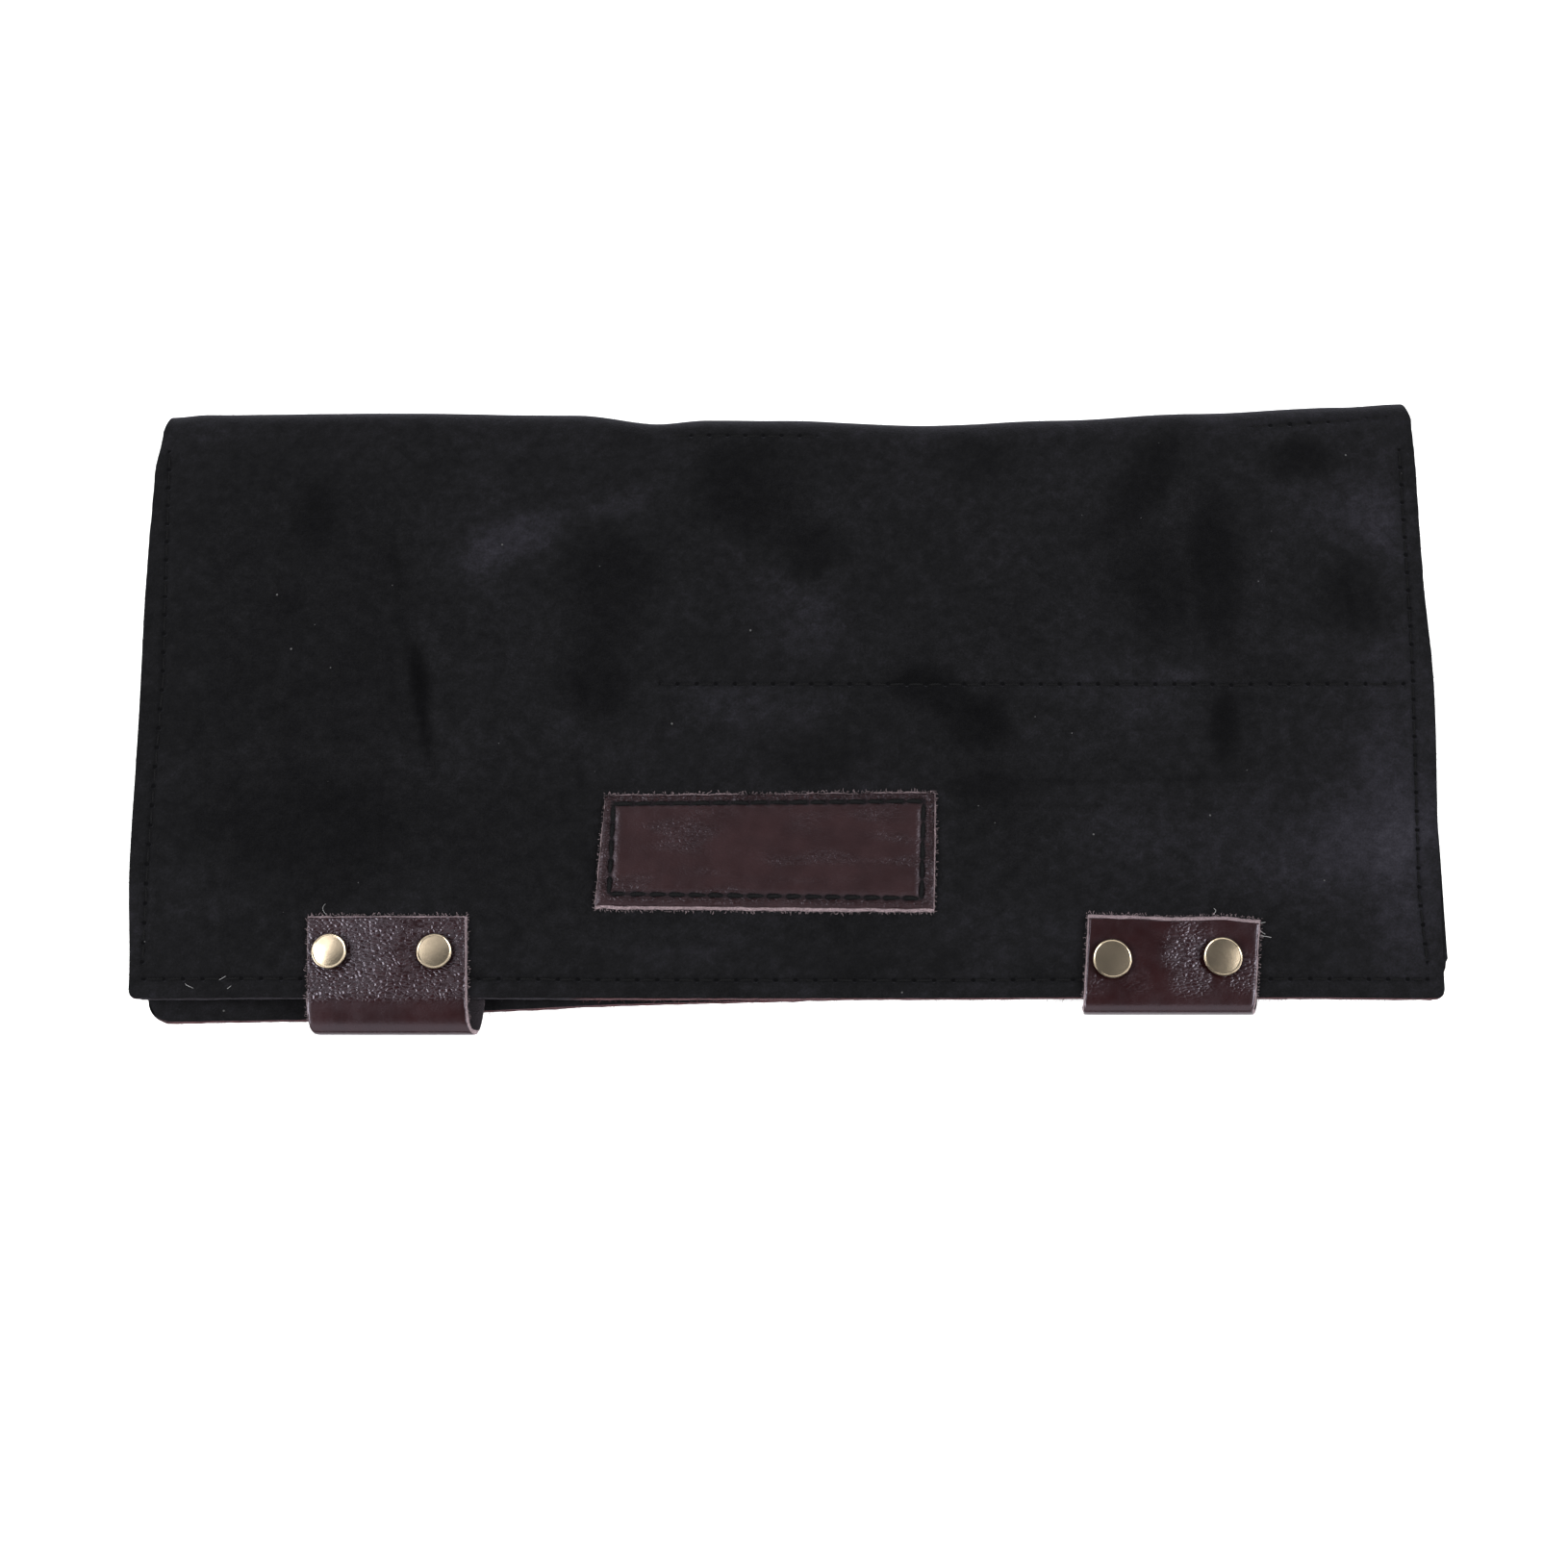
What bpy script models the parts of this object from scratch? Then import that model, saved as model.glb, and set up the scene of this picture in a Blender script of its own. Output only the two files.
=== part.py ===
"""Scissor case: a suede cover folded once, with a lining, a label patch and two riveted belt loops.

Metres, +Z up. The case lies closed on its back panel, with the fold towards +Y and the flap on top.
While the pieces are made, y = 0 is the flap's hem, x = 0 the middle of the case and z = 0 the surface
under it. At the end the whole case is moved so that the origin is the middle of its footprint.
"""

import math
from collections import namedtuple

import bmesh
import bpy
from mathutils import Vector

# The closed case
CASE_WIDTH = 0.3250
CASE_DEPTH = 0.1535
FOLD_HEIGHT = 0.0118
FOLD_REACH = 0.0060
FOLD_TUCK = 0.0014
FLAP_CORNER_RADIUS = 0.0022
BACK_CORNER_RADIUS = 0.0060
BACK_SHEAR_LEFT = 0.0035
BACK_SHEAR_RIGHT = 0.0025

# Leather thicknesses and the gap kept between pieces
SUEDE_THICKNESS = 0.0013
LINING_THICKNESS = 0.0010
STRAP_THICKNESS = 0.0012
PATCH_THICKNESS = 0.0012
GAP = 0.0003

# How the flap lies: the droop ends, and the level run to the fold starts, at shares of the depth
HEM_DROOP = 0.0013
DROOP_RUN = 0.0300
DROOP_END = 0.35
FOLD_BLEND = 0.80
CREASE_DEPTH = 0.0009

# Belt loops and rivets
STRAP_WIDTH = 0.0402
STRAP_LEG = 0.0200
LOOP_DROP = 0.0074
LOOP_BULGE = 0.0007
LOOP_TAPER = 0.0014
NOSE_SHARE = 0.9
CAP_DIAMETER = 0.0090
CAP_HEIGHT = 0.0017
BACK_CAP_HEIGHT = 0.0012
POST_DIAMETER = 0.0030
POST_CLEARANCE = 0.0003

# Label patch
PATCH_WIDTH = 0.0825
PATCH_HEIGHT = 0.0292

# How finely the sheets are divided; steps are shares of the stretch that they divide
COLUMNS = 36
FLAP_ROWS = 13
FOLD_ROWS = 8
BACK_ROWS = 3
CORNER_STEPS = (0.0, 0.10, 0.35, 1.0)
STRAP_COLUMNS = 4
LEG_STEPS = (0.0, 0.33, 0.66, 1.0)
DROP_STEPS = (0.35, 0.70)
NOSE_STEPS = 10
PATCH_COLUMNS = 14
PATCH_ROWS = 6
ROUND_SIDES = 20

# The fold's crest across the case: place from the left edge, and y as a share of CASE_DEPTH
Crest = namedtuple("Crest", "across y")
CREST_LINE = (
    Crest(0.00, 0.990), Crest(0.03, 0.995), Crest(0.20, 0.997), Crest(0.33, 0.994), Crest(0.395, 0.978),
    Crest(0.435, 0.985), Crest(0.49, 0.984), Crest(0.61, 0.975), Crest(0.72, 0.984), Crest(0.83, 0.997),
    Crest(0.95, 1.008), Crest(1.00, 1.014),
)

# The back panel's hem across the case, and its y as a share of CASE_DEPTH
Hem = namedtuple("Hem", "across y")
BACK_HEM = (Hem(0.00, -0.034), Hem(0.12, -0.030), Hem(0.36, -0.005), Hem(1.00, 0.030))

# How far the side edges lie in from half the width, as shares of CASE_WIDTH; along runs from hem to fold
Side = namedtuple("Side", "along left right")
SIDE_EDGES = (
    Side(0.00, 0.0049, 0.0055), Side(0.22, 0.0003, 0.0042), Side(0.50, 0.0020, 0.0012),
    Side(0.73, 0.0014, 0.0048), Side(0.92, 0.0025, 0.0048), Side(1.00, 0.0070, 0.0060),
)

# Soft creases in the flap: ends as shares of width and depth, reach as a share of CASE_WIDTH
Crease = namedtuple("Crease", "x0 y0 x1 y1 reach depth")
CREASES = (
    Crease(-0.296, 0.716, -0.270, 0.354, 0.022, 1.00),
    Crease(0.347, 0.700, 0.340, 0.370, 0.022, 0.85),
    Crease(-0.110, 0.960, -0.095, 0.880, 0.030, 0.90),
)

# Belt loops: centre as a share of CASE_WIDTH; width, drop and bulge as shares of their named sizes; skew
# is how far the strap leans sideways on its way round, as a share of its own width
Loop = namedtuple("Loop", "name centre width drop bulge skew")
LOOPS = (
    Loop("left", -0.3011, 0.968, 1.00, 1.0, 0.108),
    Loop("right", 0.2922, 1.051, 0.34, 0.0, -0.074),
)

# Rivets: across from the strap's middle as a share of its width, and up as a share of STRAP_LEG
Rivet = namedtuple("Rivet", "loop side across up")
RIVETS = (
    Rivet("left", "left", -0.348, 0.545), Rivet("left", "right", 0.308, 0.545),
    Rivet("right", "left", -0.374, 0.455), Rivet("right", "right", 0.263, 0.480),
)

# The front cap's crown, from its middle to where the rim starts: shares of its radius and of CAP_HEIGHT
Crown = namedtuple("Crown", "out drop")
CROWN = (Crown(0.0, 0.0), Crown(0.45, 0.06), Crown(0.78, 0.20))
RIM_SHARE = 0.45
RIM_ANGLES = (75.0, 37.5, 0.0, -37.5, -75.0)

# How much of the skew the strap has at each place on its way round: none at the front leg's top, then at
# the hem in front, at the nose's start and end, at the hem behind and at the back leg's top
Lean = namedtuple("Lean", "front_hem nose_start nose_end back_hem back_top")
LEAN = Lean(0.22, 0.30, 0.75, 0.85, 0.40)

# The patch's middle as shares of width and depth, and how far its corners run out, as shares of its sides
PATCH_CENTRE = Vector((-0.0148, 0.2358))
Corner = namedtuple("Corner", "side top dx dy")
PATCH_CORNERS = (
    Corner(-1, -1, -0.006, 0.014), Corner(1, -1, -0.002, -0.016),
    Corner(-1, 1, 0.014, -0.014), Corner(1, 1, 0.006, 0.010),
)

# Heights of the stack at the loops, from the surface up
BACK_TOP = SUEDE_THICKNESS + GAP + LINING_THICKNESS
BACK_CAP_BASE = BACK_TOP + GAP
BACK_LEG_BASE = BACK_CAP_BASE + BACK_CAP_HEIGHT + GAP
FLAP_UNDER = BACK_LEG_BASE + STRAP_THICKNESS + GAP
FLAP_TOP = FLAP_UNDER + LINING_THICKNESS + GAP + SUEDE_THICKNESS
FRONT_LEG_TOP = FLAP_TOP + GAP + STRAP_THICKNESS
CAP_BASE = FRONT_LEG_TOP + GAP

COLUMN_STEP = CASE_WIDTH / COLUMNS
LEVEL_END = STRAP_LEG + COLUMN_STEP / 2
RISE_END = LEVEL_END + CASE_DEPTH / 2


def smooth(value):
    """Ease from 0 to 1 as value goes from 0 to 1."""
    t = min(max(value, 0.0), 1.0)
    return t * t * (3.0 - 2.0 * t)


def mix(start, end, share):
    return start + (end - start) * share


def read_table(rows, at, column, ease=smooth):
    """The value of a column between the two rows that lie around a place in the first column."""
    for low, high in zip(rows, rows[1:]):
        if at <= high[0]:
            share = ease((at - low[0]) / (high[0] - low[0]))
            return getattr(low, column) * (1.0 - share) + getattr(high, column) * share
    return getattr(rows[-1], column)


def corner_trim(from_side, radius):
    """How far a hem is cut back at a distance in from the side, to round its corner."""
    if from_side >= radius:
        return 0.0
    return radius - math.sqrt(radius ** 2 - (radius - from_side) ** 2)


def column_places(radius):
    """Places across the case as shares of its width: even steps, with finer ones at the two corners."""
    fine = [radius * share / CASE_WIDTH for share in CORNER_STEPS]
    even = [step / COLUMNS for step in range(1, COLUMNS)]
    return fine + even + [1.0 - place for place in reversed(fine)]


def loop_centre(loop):
    return loop.centre * CASE_WIDTH


def loop_width(loop):
    return loop.width * STRAP_WIDTH


def droop_share(x):
    """1 where the hem hangs free, 0 where a loop and its rivets hold it up."""
    share = 1.0
    for loop in LOOPS:
        level = loop_width(loop) / 2 + COLUMN_STEP
        share *= smooth((abs(x - loop_centre(loop)) - level) / DROOP_RUN)
    return share


def crease_dent(x, y):
    """Depth of the soft creases at a place on the flap."""
    dent = 0.0
    for crease in CREASES:
        start = Vector((crease.x0 * CASE_WIDTH, crease.y0 * CASE_DEPTH))
        run = Vector((crease.x1 * CASE_WIDTH, crease.y1 * CASE_DEPTH)) - start
        offset = Vector((x, y)) - start
        along = min(max(offset.dot(run) / run.length_squared, 0.0), 1.0)
        distance = (offset - run * along).length
        dent += crease.depth * CREASE_DEPTH * (1.0 - smooth(distance / (crease.reach * CASE_WIDTH)))
    return dent


def flap_height(x, y):
    """Height of the flap's outer face: level over the loops, then rising to the fold."""
    height = FLAP_TOP + (FOLD_HEIGHT - FLAP_TOP) * smooth((y - LEVEL_END) / (RISE_END - LEVEL_END))
    height -= HEM_DROOP * droop_share(x) * (1.0 - smooth(y / (DROOP_END * CASE_DEPTH)))
    near_fold = smooth((CASE_DEPTH - FOLD_REACH - y) / FOLD_REACH)
    return height - crease_dent(x, y) * near_fold


def crest_y(across):
    return read_table(CREST_LINE, across, "y") * CASE_DEPTH


def side_x(across, along):
    """x of a place across the case, between the side edges at a place from hem to fold."""
    left = (read_table(SIDE_EDGES, along, "left") - 0.5) * CASE_WIDTH
    right = (0.5 - read_table(SIDE_EDGES, along, "right")) * CASE_WIDTH
    return left + across * (right - left)


def flap_point(across, along):
    from_side = min(across, 1.0 - across) * CASE_WIDTH
    hem = corner_trim(from_side, FLAP_CORNER_RADIUS)
    end = crest_y(across) - FOLD_REACH
    x = side_x(across, along)
    y = hem + along * (end - hem)
    blend = smooth((along - FOLD_BLEND) / (1.0 - FOLD_BLEND))
    return Vector((x, y, flap_height(x, y) * (1.0 - blend) + FOLD_HEIGHT * blend))


def fold_point(across, turn):
    """The half round of the fold; turn runs from 0 at the flap to 1 at the back panel."""
    angle = math.pi * (0.5 - turn)
    x = side_x(across, 1.0) + FOLD_TUCK * (1.0 - 2.0 * across) * math.cos(angle)
    y = crest_y(across) - FOLD_REACH * (1.0 - math.cos(angle))
    return Vector((x, y, FOLD_HEIGHT / 2 * (1.0 + math.sin(angle))))


def back_point(across, along):
    """The back panel lies flat; it is askew under the flap and its left side hangs lower."""
    from_side = min(across, 1.0 - across) * CASE_WIDTH
    hem = read_table(BACK_HEM, across, "y", ease=float) * CASE_DEPTH
    hem += corner_trim(from_side, BACK_CORNER_RADIUS)
    end = crest_y(across) - FOLD_REACH
    x = side_x(across, along) + mix(BACK_SHEAR_LEFT, BACK_SHEAR_RIGHT, across) * (1.0 - along)
    return Vector((x, hem + along * (end - hem), 0.0))


def cover_point(across, row):
    """The cover's outer face, row by row from the flap's hem over the fold to the back panel's hem."""
    if row <= FLAP_ROWS:
        return flap_point(across, row / FLAP_ROWS)
    row -= FLAP_ROWS
    if row <= FOLD_ROWS:
        return fold_point(across, row / FOLD_ROWS)
    return back_point(across, 1.0 - (row - FOLD_ROWS) / BACK_ROWS)


def shaped_grid(name, columns, rows, place):
    """An open sheet: a flat grid whose points go where place(column, row) puts them."""
    mesh = bpy.data.meshes.new(name)
    sheet = bmesh.new()
    bmesh.ops.create_grid(sheet, x_segments=columns, y_segments=rows, size=0.5)
    for vertex in sheet.verts:
        column = round((vertex.co.x + 0.5) * columns)
        row = round((vertex.co.y + 0.5) * rows)
        vertex.co = place(column, row)
    sheet.to_mesh(mesh)
    sheet.free()
    return mesh


def add_object(name, mesh, collection):
    part = bpy.data.objects.new(name, mesh)
    collection.objects.link(part)
    return part


def thicken(part, thickness, outward):
    """Give an open sheet its wall, on the side that its faces look to or on the other."""
    wall = part.modifiers.new("wall", "SOLIDIFY")
    wall.thickness = thickness
    wall.offset = 1.0 if outward else -1.0


def sink_sheet(mesh, depth):
    """Move a sheet inwards along its own normals."""
    moved = [vertex.co - vertex.normal * depth for vertex in mesh.vertices]
    for vertex, place in zip(mesh.vertices, moved):
        vertex.co = place


def make_cover_sheet(name):
    places = column_places(BACK_CORNER_RADIUS)
    rows = FLAP_ROWS + FOLD_ROWS + BACK_ROWS
    return shaped_grid(name, len(places) - 1, rows, lambda column, row: cover_point(places[column], row))


def make_suede_cover(collection):
    cover = add_object("suede_cover", make_cover_sheet("suede_cover"), collection)
    thicken(cover, SUEDE_THICKNESS, outward=False)
    return cover


def make_lining(collection):
    mesh = make_cover_sheet("lining")
    sink_sheet(mesh, SUEDE_THICKNESS + GAP)
    lining = add_object("lining", mesh, collection)
    thicken(lining, LINING_THICKNESS, outward=False)
    return lining


def strap_path(loop):
    """The strap's outer face from the front leg's top, round under the hem and up the back leg.

    Each entry is (y, z, turned), where turned goes from 0 at the front leg's top to 1 at the back leg's.
    """
    middle = (FRONT_LEG_TOP + BACK_LEG_BASE) / 2
    half = (FRONT_LEG_TOP - BACK_LEG_BASE) / 2
    round_half = half + loop.bulge * LOOP_BULGE
    nose = loop.drop * LOOP_DROP
    start = nose - min(round_half, nose * NOSE_SHARE)
    path = []
    for share in reversed(LEG_STEPS):
        path.append((STRAP_LEG * share, middle + half, LEAN.front_hem * (1.0 - share)))
    for share in DROP_STEPS:
        rise = (round_half - half) * smooth(share)
        path.append((-start * share, middle + half + rise, mix(LEAN.front_hem, LEAN.nose_start, share)))
    for step in range(NOSE_STEPS + 1):
        turn = step / NOSE_STEPS
        angle = math.pi * (0.5 - turn)
        y = -start - (nose - start) * math.cos(angle)
        path.append((y, middle + round_half * math.sin(angle), mix(LEAN.nose_start, LEAN.nose_end, turn)))
    for share in reversed(DROP_STEPS):
        rise = (round_half - half) * smooth(share)
        path.append((-start * share, middle - half - rise, mix(LEAN.back_hem, LEAN.nose_end, share)))
    for share in LEG_STEPS:
        path.append((STRAP_LEG * share, middle - half, mix(LEAN.back_hem, 1.0, share)))
    return path


def make_loop(loop, collection):
    path = strap_path(loop)

    def place(column, row):
        y, z, turned = path[len(path) - 1 - row]
        width = loop_width(loop) - LOOP_TAPER * math.sin(math.pi * turned)
        x = loop_centre(loop) + (column / STRAP_COLUMNS - 0.5) * width
        up_back_leg = max(turned - LEAN.back_hem, 0.0) / (1.0 - LEAN.back_hem)
        lean = mix(min(turned, LEAN.back_hem), LEAN.back_top, up_back_leg)
        return Vector((x + loop.skew * loop_width(loop) * lean, y, z))

    name = f"belt_loop_{loop.name}"
    strap = add_object(name, shaped_grid(name, STRAP_COLUMNS, len(path) - 1, place), collection)
    thicken(strap, STRAP_THICKNESS, outward=False)
    return strap


def rivet_place(loop, rivet):
    return Vector((loop_centre(loop) + rivet.across * loop_width(loop), rivet.up * STRAP_LEG, 0.0))


def rivet_profile():
    """Half of the rivet's outline, from the crown of the front cap down to the back cap's base."""
    cap_radius = CAP_DIAMETER / 2
    rim = CAP_HEIGHT * RIM_SHARE
    back_top = BACK_CAP_BASE + BACK_CAP_HEIGHT
    points = [(cap_radius * ring.out, CAP_BASE + CAP_HEIGHT * (1.0 - ring.drop)) for ring in CROWN]
    for angle in map(math.radians, RIM_ANGLES):
        points.append((cap_radius - rim * (1.0 - math.cos(angle)), CAP_BASE + rim * (1.0 + math.sin(angle))))
    points += [(cap_radius - rim, CAP_BASE), (POST_DIAMETER / 2, CAP_BASE), (POST_DIAMETER / 2, back_top)]
    bevel = rim / 2
    points += [(cap_radius - bevel, back_top), (cap_radius, back_top - bevel)]
    points += [(cap_radius, BACK_CAP_BASE + bevel), (cap_radius - bevel, BACK_CAP_BASE), (0.0, BACK_CAP_BASE)]
    return points


def make_rivet(name, location, collection):
    mesh = bpy.data.meshes.new(name)
    outline = bmesh.new()
    corners = [outline.verts.new((radius, 0.0, height)) for radius, height in rivet_profile()]
    for upper, lower in zip(corners, corners[1:]):
        outline.edges.new((upper, lower))
    outline.to_mesh(mesh)
    outline.free()
    rivet = add_object(name, mesh, collection)
    rivet.location = location
    turned = rivet.modifiers.new("turned", "SCREW")
    turned.steps = ROUND_SIDES
    turned.render_steps = ROUND_SIDES
    turned.use_merge_vertices = True
    turned.merge_threshold = 0.00001
    turned.use_smooth_shade = True
    return rivet


def make_hole_cutter(name, location, collection):
    """A drill for one rivet: it goes through the strap's two legs and the flap, not the back panel."""
    bottom = BACK_CAP_BASE + BACK_CAP_HEIGHT
    mesh = bpy.data.meshes.new(name)
    drill = bmesh.new()
    bmesh.ops.create_cone(
        drill, cap_ends=True, segments=ROUND_SIDES,
        radius1=POST_DIAMETER / 2 + POST_CLEARANCE, radius2=POST_DIAMETER / 2 + POST_CLEARANCE,
        depth=CAP_BASE - bottom,
    )
    drill.to_mesh(mesh)
    drill.free()
    cutter = add_object(name, mesh, collection)
    cutter.location = location + Vector((0.0, 0.0, (CAP_BASE + bottom) / 2))
    cutter.hide_render = True
    cutter.display_type = "WIRE"
    return cutter


def cut_hole(part, cutter):
    hole = part.modifiers.new("rivet_hole", "BOOLEAN")
    hole.operation = "DIFFERENCE"
    hole.solver = "EXACT"
    hole.object = cutter


def make_patch(collection):
    """The label patch: a bare leather plate that follows the flap, a gap above it."""
    middle = Vector((PATCH_CENTRE.x * CASE_WIDTH, PATCH_CENTRE.y * CASE_DEPTH))

    def place(column, row):
        across, up = column / PATCH_COLUMNS * 2 - 1, row / PATCH_ROWS * 2 - 1
        x, y = middle.x + across * PATCH_WIDTH / 2, middle.y + up * PATCH_HEIGHT / 2
        for corner in PATCH_CORNERS:
            weight = (1 + corner.side * across) * (1 + corner.top * up) / 4
            x += weight * corner.dx * PATCH_WIDTH
            y += weight * corner.dy * PATCH_HEIGHT
        return Vector((x, y, flap_height(x, y) + GAP))

    mesh = shaped_grid("label_patch", PATCH_COLUMNS, PATCH_ROWS, place)
    patch = add_object("label_patch", mesh, collection)
    thicken(patch, PATCH_THICKNESS, outward=True)
    return patch


def make_material(name, color, roughness, metallic=0.0):
    material = bpy.data.materials.new(name)
    material.use_nodes = True
    shader = material.node_tree.nodes["Principled BSDF"]
    shader.inputs["Base Color"].default_value = (*color, 1.0)
    shader.inputs["Roughness"].default_value = roughness
    shader.inputs["Metallic"].default_value = metallic
    material.diffuse_color = (*color, 1.0)
    return material


def move_to_footprint(parts, root):
    """Put the origin at the middle of the case's footprint, on the surface that it lies on."""
    bpy.context.view_layer.update()
    depsgraph = bpy.context.evaluated_depsgraph_get()
    corners = []
    for part in parts:
        evaluated = part.evaluated_get(depsgraph)
        mesh = evaluated.to_mesh()
        corners += [evaluated.matrix_world @ vertex.co for vertex in mesh.vertices]
        evaluated.to_mesh_clear()
    for axis in (0, 1):
        values = [corner[axis] for corner in corners]
        root.location[axis] = -(min(values) + max(values)) / 2


def clear_scene():
    for item in list(bpy.data.objects):
        bpy.data.objects.remove(item, do_unlink=True)


def new_collection(name):
    collection = bpy.data.collections.new(name)
    bpy.context.scene.collection.children.link(collection)
    return collection


def main():
    clear_scene()
    collection = new_collection("scissor_case")
    cutters = new_collection("cutters")

    suede = make_material("black_suede", (0.012, 0.012, 0.013), 0.95)
    lining_suede = make_material("lining_suede", (0.015, 0.014, 0.015), 0.95)
    strap_leather = make_material("strap_leather", (0.040, 0.018, 0.017), 0.45)
    patch_leather = make_material("patch_leather", (0.046, 0.024, 0.024), 0.50)
    brass = make_material("antique_brass", (0.42, 0.34, 0.20), 0.30, 1.0)

    cover = make_suede_cover(collection)
    cover.data.materials.append(suede)
    lining = make_lining(collection)
    lining.data.materials.append(lining_suede)
    patch = make_patch(collection)
    patch.data.materials.append(patch_leather)
    parts = [cover, lining, patch]

    for loop in LOOPS:
        strap = make_loop(loop, collection)
        strap.data.materials.append(strap_leather)
        parts.append(strap)
        for row in (rivet for rivet in RIVETS if rivet.loop == loop.name):
            location = rivet_place(loop, row)
            cutter = make_hole_cutter(f"hole_{loop.name}_{row.side}", location, cutters)
            for pierced in (cover, lining, strap):
                cut_hole(pierced, cutter)
            rivet = make_rivet(f"rivet_{loop.name}_loop_{row.side}", location, collection)
            rivet.data.materials.append(brass)
            parts.append(rivet)

    root = bpy.data.objects.new("case_origin", None)
    collection.objects.link(root)
    move_to_footprint(parts, root)
    for part in parts + list(cutters.objects):
        part.parent = root


main()
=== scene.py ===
"""Scissor case, dressed round its fixed frame.

The folded suede cover and its lining, the label patch, the two belt loops and the four rivets are made
again here with their real surface: seams, creases, brushed nap, cut edges, grain and loose fibres.
All the places below are in metres in the case's own coordinates, where y = 0 is the flap's hem, x = 0 the
middle of the case and z = 0 the surface under it. TO_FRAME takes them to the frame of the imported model.
"""

import bisect
import math
from collections import namedtuple

import bmesh
import bpy
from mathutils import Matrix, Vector, noise
from mathutils.bvhtree import BVHTree


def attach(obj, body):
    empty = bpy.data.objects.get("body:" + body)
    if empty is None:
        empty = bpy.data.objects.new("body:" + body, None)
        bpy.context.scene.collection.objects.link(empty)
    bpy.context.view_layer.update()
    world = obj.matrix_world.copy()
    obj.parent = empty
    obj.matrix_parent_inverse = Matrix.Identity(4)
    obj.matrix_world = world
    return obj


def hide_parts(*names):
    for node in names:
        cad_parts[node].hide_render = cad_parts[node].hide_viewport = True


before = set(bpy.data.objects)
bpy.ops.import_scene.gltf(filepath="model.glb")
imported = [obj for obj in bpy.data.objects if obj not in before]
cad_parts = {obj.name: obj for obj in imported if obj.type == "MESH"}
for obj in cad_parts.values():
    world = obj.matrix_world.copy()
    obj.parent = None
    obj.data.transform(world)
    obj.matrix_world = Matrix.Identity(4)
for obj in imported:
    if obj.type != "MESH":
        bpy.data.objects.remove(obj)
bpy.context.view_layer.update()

bl_info = {
    "name": "Scissor case",
    "version": (1, 0, 0),
    "blender": (4, 5, 0),
    "location": "3D view, sidebar, Case",
    "description": "Makes a folded suede scissor case with a leather patch and riveted belt loops",
    "category": "Object",
}

TO_FRAME = Vector((-0.0004062, -0.0741245, 0.0))
BODY = "root"
UP = Vector((0.0, 0.0, 1.0))

# Sizes of the case and its layers, the same as the solids'
CASE_WIDTH = 0.3250
CASE_DEPTH = 0.1535
FOLD_HEIGHT = 0.0118
FOLD_REACH = 0.0060
FOLD_TUCK = 0.0014
FLAP_CORNER_RADIUS = 0.0022
BACK_CORNER_RADIUS = 0.0060
BACK_SHEAR_LEFT = 0.0035
BACK_SHEAR_RIGHT = 0.0025
SUEDE_THICKNESS = 0.0013
LINING_THICKNESS = 0.0010
STRAP_THICKNESS = 0.0012
PATCH_THICKNESS = 0.0012
GAP = 0.0003
HEM_DROOP = 0.0013
DROOP_RUN = 0.0300
DROOP_END = 0.35
FOLD_BLEND = 0.80
CREASE_DEPTH = 0.0009
STRAP_WIDTH = 0.0402
STRAP_LEG = 0.0200
LOOP_DROP = 0.0074
LOOP_TAPER = 0.0014
NOSE_SAG = 0.0016
CAP_HEIGHT = 0.0017
BACK_CAP_HEIGHT = 0.0012
PATCH_WIDTH = 0.0825
PATCH_HEIGHT = 0.0292
COLUMN_STEP = CASE_WIDTH / 36

# Heights of the stack at the loops
BACK_TOP = SUEDE_THICKNESS + GAP + LINING_THICKNESS
BACK_CAP_BASE = BACK_TOP + GAP
BACK_LEG_BASE = BACK_CAP_BASE + BACK_CAP_HEIGHT + GAP
FLAP_UNDER = BACK_LEG_BASE + STRAP_THICKNESS + GAP
FLAP_TOP = FLAP_UNDER + LINING_THICKNESS + GAP + SUEDE_THICKNESS
FRONT_LEG_TOP = FLAP_TOP + GAP + STRAP_THICKNESS
CAP_BASE = FRONT_LEG_TOP + GAP
LEVEL_END = STRAP_LEG + COLUMN_STEP / 2
RISE_END = LEVEL_END + CASE_DEPTH / 2

# The fold's crest, the back panel's hem and the side edges, as shares of the case's depth and width
Crest = namedtuple("Crest", "across y")
CREST_LINE = (
    Crest(0.00, 0.990), Crest(0.03, 0.995), Crest(0.20, 0.997), Crest(0.33, 0.994), Crest(0.395, 0.978),
    Crest(0.435, 0.985), Crest(0.49, 0.984), Crest(0.61, 0.975), Crest(0.72, 0.984), Crest(0.83, 0.997),
    Crest(0.95, 1.008), Crest(1.00, 1.014),
)
Hem = namedtuple("Hem", "across y")
BACK_HEM = (Hem(0.00, -0.034), Hem(0.12, -0.030), Hem(0.36, -0.005), Hem(1.00, 0.030))
Side = namedtuple("Side", "along left right")
SIDE_EDGES = (
    Side(0.00, 0.0049, 0.0055), Side(0.22, 0.0003, 0.0042), Side(0.50, 0.0020, 0.0012),
    Side(0.73, 0.0014, 0.0048), Side(0.92, 0.0025, 0.0048), Side(1.00, 0.0070, 0.0060),
)
Crease = namedtuple("Crease", "x0 y0 x1 y1 reach depth")
CREASES = (
    Crease(-0.296, 0.716, -0.270, 0.354, 0.022, 1.00),
    Crease(0.347, 0.700, 0.340, 0.370, 0.022, 0.85),
    Crease(-0.110, 0.960, -0.095, 0.880, 0.030, 0.90),
)

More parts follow.
